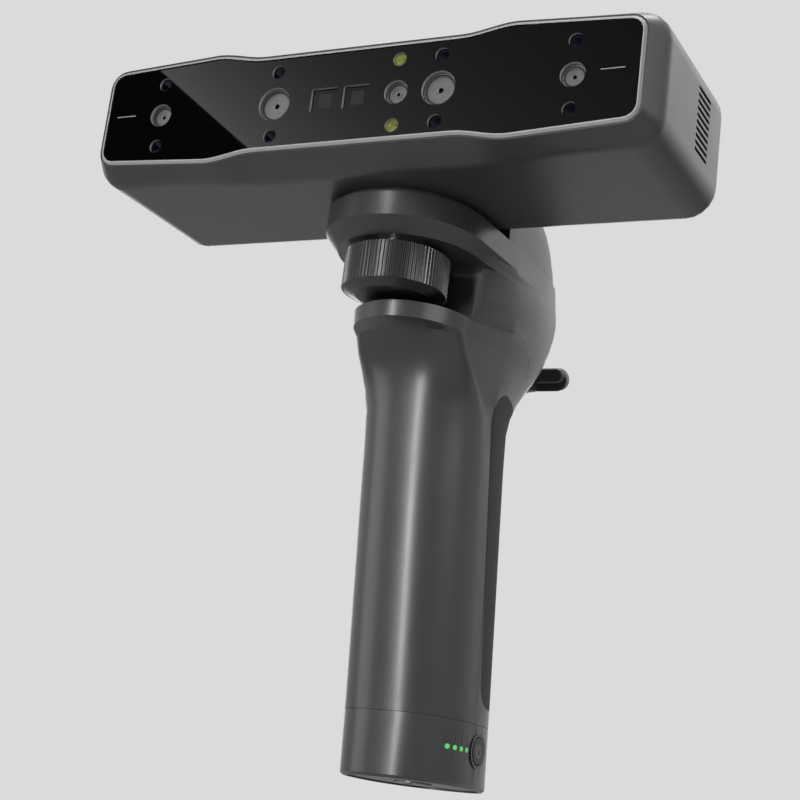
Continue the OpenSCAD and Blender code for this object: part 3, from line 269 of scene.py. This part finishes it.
grain, given = finish_group("moulded_grain", "Fine", "Cloud", "Unevenness")
pebble = joined(grain, "ShaderNodeTexNoise", {
    "Vector": given["Vector"], "Scale": given["Fine"], "Detail": 2.0, "Roughness": 0.6}).outputs["Fac"]
cloud = joined(grain, "ShaderNodeTexNoise", {
    "Vector": given["Vector"], "Scale": given["Cloud"], "Detail": 4.0, "Roughness": 0.65}).outputs["Fac"]
spread = maths(grain, "MULTIPLY", maths(grain, "SUBTRACT", cloud, 0.5), given["Unevenness"])
speck = joined(grain, "ShaderNodeMapRange", {
    "Value": pebble, "From Min": 0.3, "From Max": 0.7, "To Min": 0.94, "To Max": 1.06}).outputs["Result"]
both = maths(grain, "MULTIPLY", maths(grain, "ADD", spread, 1.0), speck)
joined(grain, "NodeGroupOutput", {
    "Tone": scaled(grain, given["Tone"], both),
    "Roughness": maths(grain, "ADD", given["Roughness"], spread), "Height": pebble})


def surfaced(name, group, values, relief, plain):
    """A material with the look of a group, its relief in metres, and plain shader values."""
    paint = bpy.data.materials.new(name)
    paint.use_nodes = True
    tree = paint.node_tree
    shader = tree.nodes["Principled BSDF"]
    place = tree.nodes.new("ShaderNodeTexCoord")
    look = joined(tree, "ShaderNodeGroup", {"Vector": place.outputs["Object"], **values}, node_tree=group)
    bump = joined(tree, "ShaderNodeBump", {
        "Height": look.outputs["Height"], "Distance": relief, "Strength": 1.0})
    tree.links.new(look.outputs["Tone"], shader.inputs["Base Color"])
    tree.links.new(look.outputs["Roughness"], shader.inputs["Roughness"])
    tree.links.new(bump.outputs["Normal"], shader.inputs["Normal"])
    for key, value in plain.items():
        shader.inputs[key].default_value = value
    return paint


def moulded(name, tone, roughness, relief, fine=2600.0, cloud=30.0, unevenness=0.12, **plain):
    """Plastic, rubber or paint: fine sets the pitch of its grain, cloud that of its unevenness."""
    values = {"Tone": (*tone, 1), "Roughness": roughness, "Fine": fine, "Cloud": cloud,
              "Unevenness": unevenness}
    return surfaced(name, grain, values, relief, plain)


graphite = moulded("graphite_shell", (0.028, 0.028, 0.03), roughness=0.3, relief=1.2e-6)
merge_reach = 2e-6
shortest_edge = 1e-6
flat_turn = math.radians(0.3)
sharp_turn = math.radians(33)
side_share = 0.5
edge_round = 0.18 * MM


def dressed(node, paint, rounding=edge_round, edge_paint=None, seam=None):
    """
    A merged copy of a faceted node, smooth but for its edges, which are rounded. It stands for
    the node. With an edge paint, its faces that don't look along y get that finish; with a
    seam paint, its rounded edges do.
    """
    bm = bmesh.new()
    bm.from_mesh(nodes[node].data)
    bmesh.ops.remove_doubles(bm, verts=bm.verts, dist=merge_reach)
    bmesh.ops.dissolve_degenerate(bm, edges=bm.edges, dist=shortest_edge)
    bmesh.ops.dissolve_limit(bm, angle_limit=flat_turn, verts=bm.verts, edges=bm.edges)
    for f in bm.faces:
        f.material_index = 0
    if rounding:
        edges = [e for e in bm.edges if len(e.link_faces) == 2 and e.calc_face_angle(0) > sharp_turn]
        bmesh.ops.bevel(bm, geom=edges, offset=rounding, offset_type="OFFSET", segments=2, profile=0.5,
                        affect="EDGES", material=1 if seam else 0, clamp_overlap=True)
    bmesh.ops.triangulate(bm, faces=[f for f in bm.faces if len(f.verts) > 4])
    for f in bm.faces:
        f.smooth = True
        if edge_paint and abs(f.normal.y) < side_share:
            f.material_index = 1
    for e in bm.edges:
        e.smooth = len(e.link_faces) != 2 or e.calc_face_angle(0) < sharp_turn
    mesh = bpy.data.meshes.new(node + "_skin")
    bm.to_mesh(mesh)
    bm.free()
    mesh.materials.append(paint)
    if edge_paint or seam:
        mesh.materials.append(edge_paint or seam)
    piece = put(bpy.data.objects.new(node + "_skin", mesh))
    weighted = piece.modifiers.new("weighted", "WEIGHTED_NORMAL")
    weighted.keep_sharp = True
    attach(piece, nodes[node]["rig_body"])
    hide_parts(node)
    return piece


for name in ("head_shell", "yoke", "grip_shell", "base_cap", "back_cover"):
    dressed(name, graphite)


# Rim: a thin frame of machined aluminium round the glass, blasted and clear anodised, with
# fine lines along it from the cutter. Its side faces get a darker copy of that metal, as painted shade.
metal, given = finish_group("worked_metal", "Lines", "Contrast")
stretched = joined(metal, "ShaderNodeVectorMath", {0: given["Vector"], 1: given["Lines"]},
                   operation="MULTIPLY")
lines = joined(metal, "ShaderNodeTexNoise", {
    "Vector": stretched.outputs[0], "Scale": 1.0, "Detail": 3.0, "Roughness": 0.7}).outputs["Fac"]
spread = maths(metal, "MULTIPLY", maths(metal, "SUBTRACT", lines, 0.5), given["Contrast"])
joined(metal, "NodeGroupOutput", {
    "Tone": scaled(metal, given["Tone"], maths(metal, "ADD", spread, 1.0)),
    "Roughness": maths(metal, "ADD", given["Roughness"], spread), "Height": lines})


def worked(name, tone, roughness, relief, lines=(900.0, 900.0, 900.0), contrast=0.15, **plain):
    """Bare or anodised metal: lines sets the pitch of its tool marks along x, y and z."""
    values = {"Tone": (*tone, 1), "Roughness": roughness, "Lines": lines, "Contrast": contrast}
    return surfaced(name, metal, values, relief, {"Metallic": 1.0, **plain})


rim_lines = (120.0, 4000.0, 1500.0)
rim_round = 0.08 * MM
rim_metal = worked("rim_metal", (0.3, 0.3, 0.303), roughness=0.5, relief=2e-6, lines=rim_lines,
                   Metallic=0.4)
# Painted shade: the rim's side faces get this darker copy of the rim metal.
rim_side_painted_shade = worked("rim_side_painted_shade", (0.11, 0.11, 0.113), roughness=0.5, relief=2e-6, lines=rim_lines)
keep_off(off_side_lamp, dressed("front_rim", rim_metal, rim_round, edge_paint=rim_side_painted_shade))


# Front panel: one sheet of tempered glass, printed black on its back, with faint polishing
# marks and ground edges in its holes. A short grey line is printed near each end.
smear, given = finish_group("polished_glass", "Marks", "Amount")
marks = joined(smear, "ShaderNodeTexNoise", {
    "Vector": given["Vector"], "Scale": given["Marks"], "Detail": 5.0, "Roughness": 0.7,
    "Distortion": 1.2}).outputs["Fac"]
faint = joined(smear, "ShaderNodeMapRange", {
    "Value": marks, "From Min": 0.45, "From Max": 0.75, "To Min": 0.0, "To Max": 1.0}).outputs["Result"]
worn = maths(smear, "MULTIPLY", faint, given["Amount"])
joined(smear, "NodeGroupOutput", {
    "Tone": scaled(smear, given["Tone"], maths(smear, "ADD", worn, 1.0)),
    "Roughness": maths(smear, "ADD", given["Roughness"], worn), "Height": marks})


def polished(name, tone, roughness, marks=60.0, amount=0.03, relief=2e-7, **plain):
    """Glass or clear plastic: marks sets the pitch of its polishing marks, amount how they show."""
    values = {"Tone": (*tone, 1), "Roughness": roughness, "Marks": marks, "Amount": amount}
    return surfaced(name, smear, values, relief, plain)


def middle(name):
    """The centre of a node's box."""
    low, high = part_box(name)
    return (low + high) / 2


black_glass = polished("black_glass", (0.0015, 0.0015, 0.0018), roughness=0.015, amount=0.01, IOR=1.52)
ground_edge = moulded("ground_edge", (0.3, 0.3, 0.305), roughness=0.25, relief=2e-6)
keep_off(off_key_lamp, dressed("front_glass", black_glass, 0, edge_paint=ground_edge))

glass_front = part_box("front_glass")[0].y
lens_row = middle("inner_left_lens").z
dash_half = 3.9 * MM
dash_tall = 0.34 * MM
dash_proud = 0.03 * MM
dash_rise = 0.75 * MM
dash_places = (-89.4 * MM, 87.8 * MM)
print_grey = moulded("print_grey", (0.2, 0.2, 0.205), roughness=0.5, relief=2e-6)
same_place = 1e-7
crease_turn = 40


def slab(bm, centre, half, rounding):
    """A box with rounded edges, added to a bmesh."""
    stretch = Matrix.Diagonal((*half, 1))
    made = bmesh.ops.create_cube(bm, size=2, matrix=Matrix.Translation(centre) @ stretch)
    edges = list({e for v in made["verts"] for e in v.link_edges})
    bmesh.ops.bevel(bm, geom=edges, offset=rounding, offset_type="OFFSET", segments=2, profile=0.5,
                    affect="EDGES", material=-1, clamp_overlap=True)


def finished(bm, name, paint, body, crease=crease_turn):
    """Turns a bmesh into a piece with its finish, on its body."""
    bmesh.ops.remove_doubles(bm, verts=bm.verts, dist=same_place)
    bmesh.ops.recalc_face_normals(bm, faces=bm.faces)
    for f in bm.faces:
        f.smooth = True
    for e in bm.edges:
        e.smooth = len(e.link_faces) != 2 or e.calc_face_angle(0) < math.radians(crease)
    mesh = bpy.data.meshes.new(name)
    bm.to_mesh(mesh)
    bm.free()
    mesh.materials.append(paint)
    piece = put(bpy.data.objects.new(name, mesh))
    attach(piece, body)
    return piece


bm = bmesh.new()
for x in dash_places:
    slab(bm, (x, glass_front, lens_row + dash_rise), (dash_half, dash_proud, dash_tall / 2), dash_proud / 2)
finished(bm, "panel_lines", print_grey, "frame")


# Lenses: turned barrels with a matt inside, a coated glass element in each, and before it
# the satin face ring of the lens with its small pupil.
lens_nodes = ("outer_left_lens", "outer_right_lens", "inner_left_lens", "inner_right_lens", "colour_lens")
barrel_nodes = [name.replace("_lens", "_barrel") for name in lens_nodes]
lens_hole = {"inner": 5.9 * MM, "outer": 4.15 * MM}
face_share = {"inner": 0.8, "outer": 0.74}
lens_steps = 48
fit_gap = 0.03 * MM
pocket_inset = 0.72 * MM
face_deep = 2.0 * MM
face_thick = 0.35 * MM
face_step = 0.12 * MM
face_crease = 25
groove_deep = 1.5 * face_step
groove_shares = (0.44, 0.34)
pupil_share = 0.15


def painted(paint, *names):
    """Gives CAD nodes whose shape is right their finish."""
    for name in names:
        nodes[name].data.materials.clear()
        nodes[name].data.materials.append(paint)


def turned(bm, profile, centre, steps):
    """Spins a closed outline, given as radius and depth, into a ring round a line along y."""
    x, y, z = centre
    verts = [bm.verts.new((x - radius, y + deep, z)) for radius, deep in profile]
    edges = [bm.edges.new((verts[i], verts[(i + 1) % len(verts)])) for i in range(len(verts))]
    bmesh.ops.spin(bm, geom=verts + edges, cent=centre, axis=(0, 1, 0), dvec=(0, 0, 0),
                   angle=2 * math.pi, steps=steps, use_merge=True)


barrel_lines = (1500.0, 5000.0, 1500.0)
barrel_metal = worked("lens_mount", (0.12, 0.12, 0.125), roughness=0.42, relief=3e-6, lines=barrel_lines)
painted(barrel_metal, *barrel_nodes)
lens_glass = polished("lens_glass", (0.02, 0.025, 0.035), roughness=0.02, relief=0.0, Alpha=0.45,
                      **{"Coat Weight": 1.0, "Coat Roughness": 0.02})
painted(lens_glass, *lens_nodes)
face_lines = (1500.0, 900.0, 1500.0)
face_metal = worked("lens_face", (0.34, 0.34, 0.345), roughness=0.36, relief=6e-6, lines=face_lines,
                    contrast=0.5)
seat_black = moulded("lens_seat", (0.004, 0.004, 0.0045), roughness=0.6, relief=2e-6)
faces = bmesh.new()
seats = bmesh.new()
for name in lens_nodes:
    kind = "inner" if name.startswith("inner") else "outer"
    hole = lens_hole[kind]
    edge = hole - pocket_inset
    face = hole * face_share[kind]
    pupil = hole * pupil_share
    at = (middle(name).x, glass_front + face_deep, lens_row)
    profile = [(face, face_step), (face - face_step, 0)]
    if name.startswith("colour"):
        wide, narrow = (hole * share for share in groove_shares)
        profile += [(wide, 0), (wide - face_step / 2, groove_deep), (narrow + face_step / 2, groove_deep),
                    (narrow, 0)]
    profile += [(pupil + face_step, 0), (pupil, face_step), (pupil, face_thick), (face, face_thick)]
    turned(faces, profile, at, lens_steps)
    turned(seats, [(edge, face_step / 2), (face + fit_gap, face_step), (face + fit_gap, face_thick),
                   (edge, face_thick)], at, lens_steps)
keep_off(off_key_lamp, finished(faces, "lens_faces", face_metal, "frame", crease=face_crease))
keep_off(off_key_lamp, *(nodes[name] for name in lens_nodes))
finished(seats, "lens_seats", seat_black, "frame")


# Lamps: the infrared lamps sit behind deep blue filter domes, the two white fill lamps behind
# clear domes over their yellow phosphor, and the projectors behind smoked square windows.
lamp_hole = 2.4 * MM
lamp_rise = 11.5 * MM
lamp_deep = 0.85 * MM
infrared_spots = [(middle(name).x, lens_row + side * lamp_rise)
                  for name in lens_nodes[:4] for side in (-1, 1)]
fill_spots = [(middle("colour_lens").x, lens_row + side * lamp_rise) for side in (-1, 1)]
dome_high = 0.25 * MM
dome_steps = 6
dome_round = 36
dome_pole = 0.04
flange_reach = 0.3 * MM
flange_deep = 1.4 * MM
lamp_end = 2.2 * MM


def lamp_domes(name, node, spots, paint):
    """Domes with a flange behind the glass, in place of a node."""
    bm = bmesh.new()
    radius = lamp_hole - fit_gap
    pole = radius * dome_pole
    reach = lamp_hole + flange_reach
    turns = [math.radians(90 * i / dome_steps) for i in range(dome_steps)]
    profile = [(radius * math.cos(turn), lamp_deep - dome_high * math.sin(turn)) for turn in turns]
    profile += [(pole, lamp_deep - dome_high), (pole, lamp_end), (reach, lamp_end),
                (reach, flange_deep + fit_gap), (radius, flange_deep + fit_gap)]
    for x, z in spots:
        turned(bm, profile, (x, glass_front, z), dome_round)
    piece = finished(bm, name, paint, "frame")
    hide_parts(node)
    keep_off(off_key_lamp, piece)


infrared = polished("infrared_window", (0.0018, 0.0018, 0.012), roughness=0.08,
                    **{"Specular IOR Level": 0.2})
lamp_domes("infrared_domes", "lamp_windows", infrared_spots, infrared)


def glowing(name, texture, output, tones, strength, roughness, **plain):
    """A finish that glows a little, in two tones mixed by a texture's output."""
    kind, pitch = texture
    paint = bpy.data.materials.new(name)
    paint.use_nodes = True
    tree = paint.node_tree
    shader = tree.nodes["Principled BSDF"]
    place = tree.nodes.new("ShaderNodeTexCoord")
    mixing = joined(tree, kind, {"Vector": place.outputs["Object"], **pitch})
    ramp = joined(tree, "ShaderNodeValToRGB", {"Fac": mixing.outputs[output]})
    for stop, tone in zip(ramp.color_ramp.elements, tones):
        stop.color = (*tone, 1)
    for key in ("Base Color", "Emission Color"):
        tree.links.new(ramp.outputs["Color"], shader.inputs[key])
    for key, value in {"Emission Strength": strength, "Roughness": roughness, **plain}.items():
        shader.inputs[key].default_value = value
    return paint


phosphor = glowing(
    "yellow_lamp", ("ShaderNodeTexVoronoi", {"Scale": 1100.0}), "Distance",
    ((0.4, 0.43, 0.06), (0.09, 0.11, 0.008)), strength=0.15, roughness=0.25,
    **{"Coat Weight": 1.0, "Coat Roughness": 0.03})
lamp_domes("fill_domes", "fill_lenses", fill_spots, phosphor)

window_places = (-11.4 * MM, 0.5 * MM)
window_half = (4.7 * MM, 4.0 * MM)
window_corner = 0.04 * MM
window_deep = 1.0 * MM
window_flange = 0.3 * MM
pane_half = 2.5 * MM
pane_round = 0.25 * MM
pane_sink = 0.25 * MM
corner_steps = 5


def rounded_outline(half_x, half_z, corner):
    """An outline with round corners, counter-clockwise from the right."""
    points = []
    for quarter, (sx, sz) in enumerate(((1, 1), (-1, 1), (-1, -1), (1, -1))):
        for i in range(corner_steps + 1):
            turn = math.radians(90 * (quarter + i / corner_steps))
            points.append((sx * (half_x - corner) + corner * math.cos(turn),
                           sz * (half_z - corner) + corner * math.sin(turn)))
    return points


def walled(bm, front, levels):
    """Walls between outlines, each given with its depth behind the front, and the outlines' points."""
    rows = [[bm.verts.new((front[0] + x, front[1] + deep, front[2] + z)) for x, z in outline]
            for deep, outline in levels]
    for a, b in zip(rows, rows[1:]):
        for i in range(len(a)):
            j = (i + 1) % len(a)
            bm.faces.new((a[i], a[j], b[j], b[i]))
    return rows


smoked = polished("dark_window", (0.006, 0.006, 0.0068), roughness=0.08)
pane_tone = polished("window_pane", (0.035, 0.035, 0.038), roughness=0.2)
plug = rounded_outline(window_half[0] - fit_gap, window_half[1] - fit_gap, window_corner)
flange = rounded_outline(window_half[0] + window_flange, window_half[1] + window_flange, window_corner)
recess = rounded_outline(pane_half, pane_half, pane_round)
pane = rounded_outline(pane_half - fit_gap, pane_half - fit_gap, pane_round)
windows = bmesh.new()
panes = bmesh.new()
for x in window_places:
    rows = walled(windows, (x, glass_front, lens_row), [
        (window_deep + pane_sink, recess), (window_deep, recess), (window_deep, plug),
        (flange_deep + fit_gap, plug), (flange_deep + fit_gap, flange), (lamp_end, flange)])
    windows.faces.new(rows[0])
    windows.faces.new(rows[-1][::-1])
    rows = walled(panes, (x, glass_front, lens_row), [
        (window_deep + pane_sink - fit_gap, pane), (window_deep + pane_sink / 2, pane)])
    panes.faces.new(rows[0])
    panes.faces.new(rows[-1])
piece = finished(windows, "smoked_windows", smoked, "frame")
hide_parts("projector_windows")
keep_off(off_key_lamp, piece, finished(panes, "window_panes", pane_tone, "frame"))

projector_metal = worked("dark_steel", (0.2, 0.2, 0.21), roughness=0.4, relief=2e-6)
painted(projector_metal, "projector_units")


# Boards: green solder mask over copper, with fine traces that show as a slightly lighter
# relief, and small gold pads. They sit before and behind the bench and in the handle.
trace_tone = (0.04, 0.2, 0.1, 1)
pad_tone = (0.7, 0.52, 0.2, 1)


def mixed_tone(tree, share, first, second):
    """Two tones blended by a share. A Mix node has its colour sockets at 6, 7 and 2."""
    mix = joined(tree, "ShaderNodeMix", {"Factor": share, 6: first, 7: second}, data_type="RGBA")
    return mix.outputs[2]


board, given = finish_group("printed_board", "Pitch")
cells = joined(board, "ShaderNodeTexVoronoi", {"Vector": given["Vector"], "Scale": given["Pitch"]},
               feature="F1", distance="MANHATTAN").outputs["Distance"]
trace = joined(board, "ShaderNodeMapRange", {
    "Value": cells, "From Min": 0.42, "From Max": 0.46, "To Min": 0.0, "To Max": 1.0}).outputs["Result"]
pad = joined(board, "ShaderNodeMapRange", {
    "Value": cells, "From Min": 0.1, "From Max": 0.12, "To Min": 1.0, "To Max": 0.0}).outputs["Result"]
traced = mixed_tone(board, trace, given["Tone"], trace_tone)
shine = maths(board, "MULTIPLY", pad, -0.1)
joined(board, "NodeGroupOutput", {
    "Tone": mixed_tone(board, pad, traced, pad_tone),
    "Roughness": maths(board, "ADD", shine, given["Roughness"]), "Height": trace})
board_look = {"Tone": (0.012, 0.085, 0.04, 1), "Roughness": 0.35, "Pitch": 420.0}
circuit = surfaced("circuit_board", board, board_look, relief=2e-5, plain={})
painted(circuit, "lamp_board", "sensor_boards", "main_board", "button_board", "handle_board", "cap_board")


# Bench, heat sink and fasteners: a die-cast bench, an extruded bare heat sink, zinc-plated
# screws, washer and stud, pressed steel inlets, and turned threaded inserts.
cast_lines = (700.0, 700.0, 700.0)
cast = worked("cast_bench", (0.52, 0.52, 0.54), roughness=0.5, relief=2e-5, lines=cast_lines, contrast=0.25)
painted(cast, "optical_bench")
drawn_lines = (2500.0, 2500.0, 60.0)
extruded = worked("bare_aluminium", (0.68, 0.69, 0.7), roughness=0.34, relief=4e-6, lines=drawn_lines)
painted(extruded, "heat_sink")
screw_lines = (1800.0, 1800.0, 1800.0)
plated = worked("screw_steel", (0.5, 0.5, 0.52), roughness=0.28, relief=3e-6, lines=screw_lines)
painted(plated, "bench_screws", "back_screws", "clamp_screws", "yoke_screws", "base_screws",
        "thrust_washer", "clamp_stud", "data_inlet", "charge_inlet")
insert_lines = (900.0, 900.0, 6000.0)
turned_brass = worked("insert_brass", (0.68, 0.5, 0.22), roughness=0.28, relief=3e-6, lines=insert_lines)
painted(turned_brass, "head_insert")
turned_steel = worked("insert_steel", (0.2, 0.2, 0.205), roughness=0.4, relief=3e-6, lines=insert_lines)
painted(turned_steel, "tripod_insert")


# Fan, screens, holder and buttons: unpainted black nylon with a spark-eroded texture. The
# scan button and the power button's ring are polished in the mould.
nylon = moulded("black_plastic", (0.01, 0.01, 0.011), roughness=0.48, relief=1.4e-5, fine=1700.0)
painted(nylon, "vent_screen_left", "vent_screen_right", "fan_frame", "fan_rotor", "battery_holder",
        "power_button")
gloss = moulded("black_gloss", (0.006, 0.006, 0.0065), roughness=0.24, relief=2e-6)
painted(gloss, "scan_button", "power_bezel")


# Knob: turned aluminium with a fine straight knurl, dark anodised. It is fixed on a steel
# stud that screws into the head.
knob_lines = (2500.0, 2500.0, 2500.0)
knob_metal = worked("knob_metal", (0.07, 0.07, 0.073), roughness=0.3, relief=3e-6, lines=knob_lines,
                    contrast=0.2)
painted(knob_metal, "knob")


# Telephone clamp: a matt black body screwed to the yoke, and two jaws with a raised bar
# across the tip of each. Thin soft pads are glued to the jaws, the body and the yoke's top.
dark_shell = moulded("dark_shell", (0.02, 0.02, 0.021), roughness=0.34, relief=8e-6)
clamp_lean = math.radians(20)
toward_head = Vector((0, -math.cos(clamp_lean), -math.sin(clamp_lean)))
jaws = {"upper_jaw": (-1, 197.1 * MM), "lower_jaw": (1, 137.6 * MM)}
jaw_front = 103.0 * MM
jaw_cut = 2.5 * MM
jaw_round = 0.4 * MM
bar_half = 19.6 * MM
bar_tall = 5.8 * MM
bar_levels = [(2.7, 0.7), (2.1, 0.7), (2.05, 0.0), (1.0, 0.0), (0.5, 0.2), (0.15, 0.55), (0.0, 1.1)]
dressed("clamp_body", dark_shell)
for name, (side, inner) in jaws.items():
    piece = dressed(name, dark_shell, jaw_round)
    for vert in piece.data.vertices:
        if abs(vert.co.dot(toward_head) + jaw_front) < jaw_round + fit_gap:
            vert.co -= toward_head * jaw_cut
    levels = []
    for deep, inset in bar_levels:
        half_tall = bar_tall / 2 - inset * MM
        levels.append((deep * MM, rounded_outline(bar_half - inset * MM, half_tall, half_tall)))
    bm = bmesh.new()
    rows = walled(bm, (0, jaw_front, inner - side * bar_tall / 2), levels)
    bm.faces.new(rows[0])
    bm.faces.new(rows[-1][::-1])
    bmesh.ops.rotate(bm, verts=bm.verts, cent=(0, 0, 0), matrix=Matrix.Rotation(clamp_lean, 3, "X"))
    finished(bm, name + "_bar", dark_shell, nodes[name]["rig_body"])
soft = moulded("pad_rubber", (0.014, 0.014, 0.0145), roughness=0.75, relief=2e-5, fine=1500.0)
for name, rounding in (("head_pad", 0), ("rest_pad", 0.15), ("upper_pad", 0.2), ("lower_pad", 0.2)):
    dressed(name, soft, rounding * MM)


# Rubber panel: a soft overmoulding in the grip's back, matt and a little browner than the
# paint round it. Its rounded edge, where the two meet, is painted near black: painted shade of the groove.
rubber_round = 0.4 * MM
grip_rubber = moulded("grip_rubber", (0.0165, 0.015, 0.015), roughness=0.75, relief=2e-5, fine=1800.0,
                      unevenness=0.08, **{"Specular IOR Level": 0.36})
# Painted shade: near-black paint on the rubber's rounded edge stands for the shade in the seam's groove.
seam_painted_shade = moulded("seam_painted_shade", (0.003, 0.003, 0.003), roughness=0.8, relief=2e-6)
dressed("rubber_grip", grip_rubber, rubber_round, seam=seam_painted_shade)


# Battery: two round cells in blue shrink wrap, one behind the other. The nylon holder keeps
# them in place, and leans with the grip.
wrap = moulded("cell_wrap", (0.07, 0.13, 0.33), roughness=0.22, relief=3e-6, fine=600.0)
painted(wrap, "battery_cells")


# Base: a thin grey satin plate lies in the cap's underside and hides the cap's screws. The
# steel tripod insert in its middle is turned, with a cut thread.
plate_grey = moulded("base_plate", (0.085, 0.085, 0.087), roughness=0.42, relief=6e-6)
plate_round = 0.15 * MM
dressed("base_plate", plate_grey, plate_round)
thread_radius = 3.175 * MM
thread_deep = 0.5 * MM
thread_pitch = 1.27 * MM
thread_turns = 8
thread_start = 0.9 * MM
turn_steps = 32
tooth_root = -0.05 * MM
tooth_profile = [(tooth_root, 0), (thread_deep, 0.38), (thread_deep, 0.5), (tooth_root, 0.88)]
bm = bmesh.new()
tooth = [bm.verts.new((thread_radius - deep, 0, thread_start + thread_pitch * rise))
         for deep, rise in tooth_profile]
edges = [bm.edges.new((tooth[i], tooth[(i + 1) % len(tooth)])) for i in range(len(tooth))]
bmesh.ops.spin(bm, geom=tooth + edges, cent=(0, 0, 0), axis=(0, 0, 1),
               dvec=(0, 0, thread_pitch / turn_steps), angle=2 * math.pi * thread_turns,
               steps=turn_steps * thread_turns)
bmesh.ops.holes_fill(bm, edges=[e for e in bm.edges if len(e.link_faces) == 1], sides=len(tooth))
finished(bm, "tripod_thread", turned_steel, "frame")


# Lights and power button: four green light pipes pressed into the cap, and the moulded
# button with its printed sign, an open ring and a bar.
lit = glowing(
    "green_light", ("ShaderNodeTexNoise", {"Scale": 900.0, "Detail": 2.0}), "Fac",
    ((0.03, 0.4, 0.05), (0.16, 0.62, 0.17)), strength=0.32, roughness=0.2)
painted(lit, "charge_lights")

sign_radius = 2.0 * MM
sign_line = 0.32 * MM
sign_proud = 0.03 * MM
sign_gap = math.radians(62)
sign_steps = 40
bar_middle = 0.62 * sign_radius
bar_reach = 0.52 * sign_radius
button_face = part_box("power_button")[1].x
button_at = middle("power_button")
sign_grey = moulded("sign_grey", (0.2, 0.19, 0.18), roughness=0.5, relief=2e-6)
bm = bmesh.new()
ring_start = Matrix.Rotation(sign_gap / 2, 4, "X")
section = ((-sign_proud, sign_radius), (sign_proud, sign_radius), (sign_proud, sign_radius - sign_line),
           (-sign_proud, sign_radius - sign_line))
face = bm.faces.new([bm.verts.new(ring_start @ Vector((proud, 0, radius))) for proud, radius in section])
bmesh.ops.spin(bm, geom=[face], cent=(0, 0, 0), axis=(1, 0, 0), dvec=(0, 0, 0),
               angle=2 * math.pi - sign_gap, steps=sign_steps)
slab(bm, (0, 0, bar_middle), (sign_proud, sign_line / 2, bar_reach), sign_proud / 2)
bmesh.ops.translate(bm, verts=bm.verts, vec=(button_face, button_at.y, button_at.z))
finished(bm, "power_sign", sign_grey, "power_button")
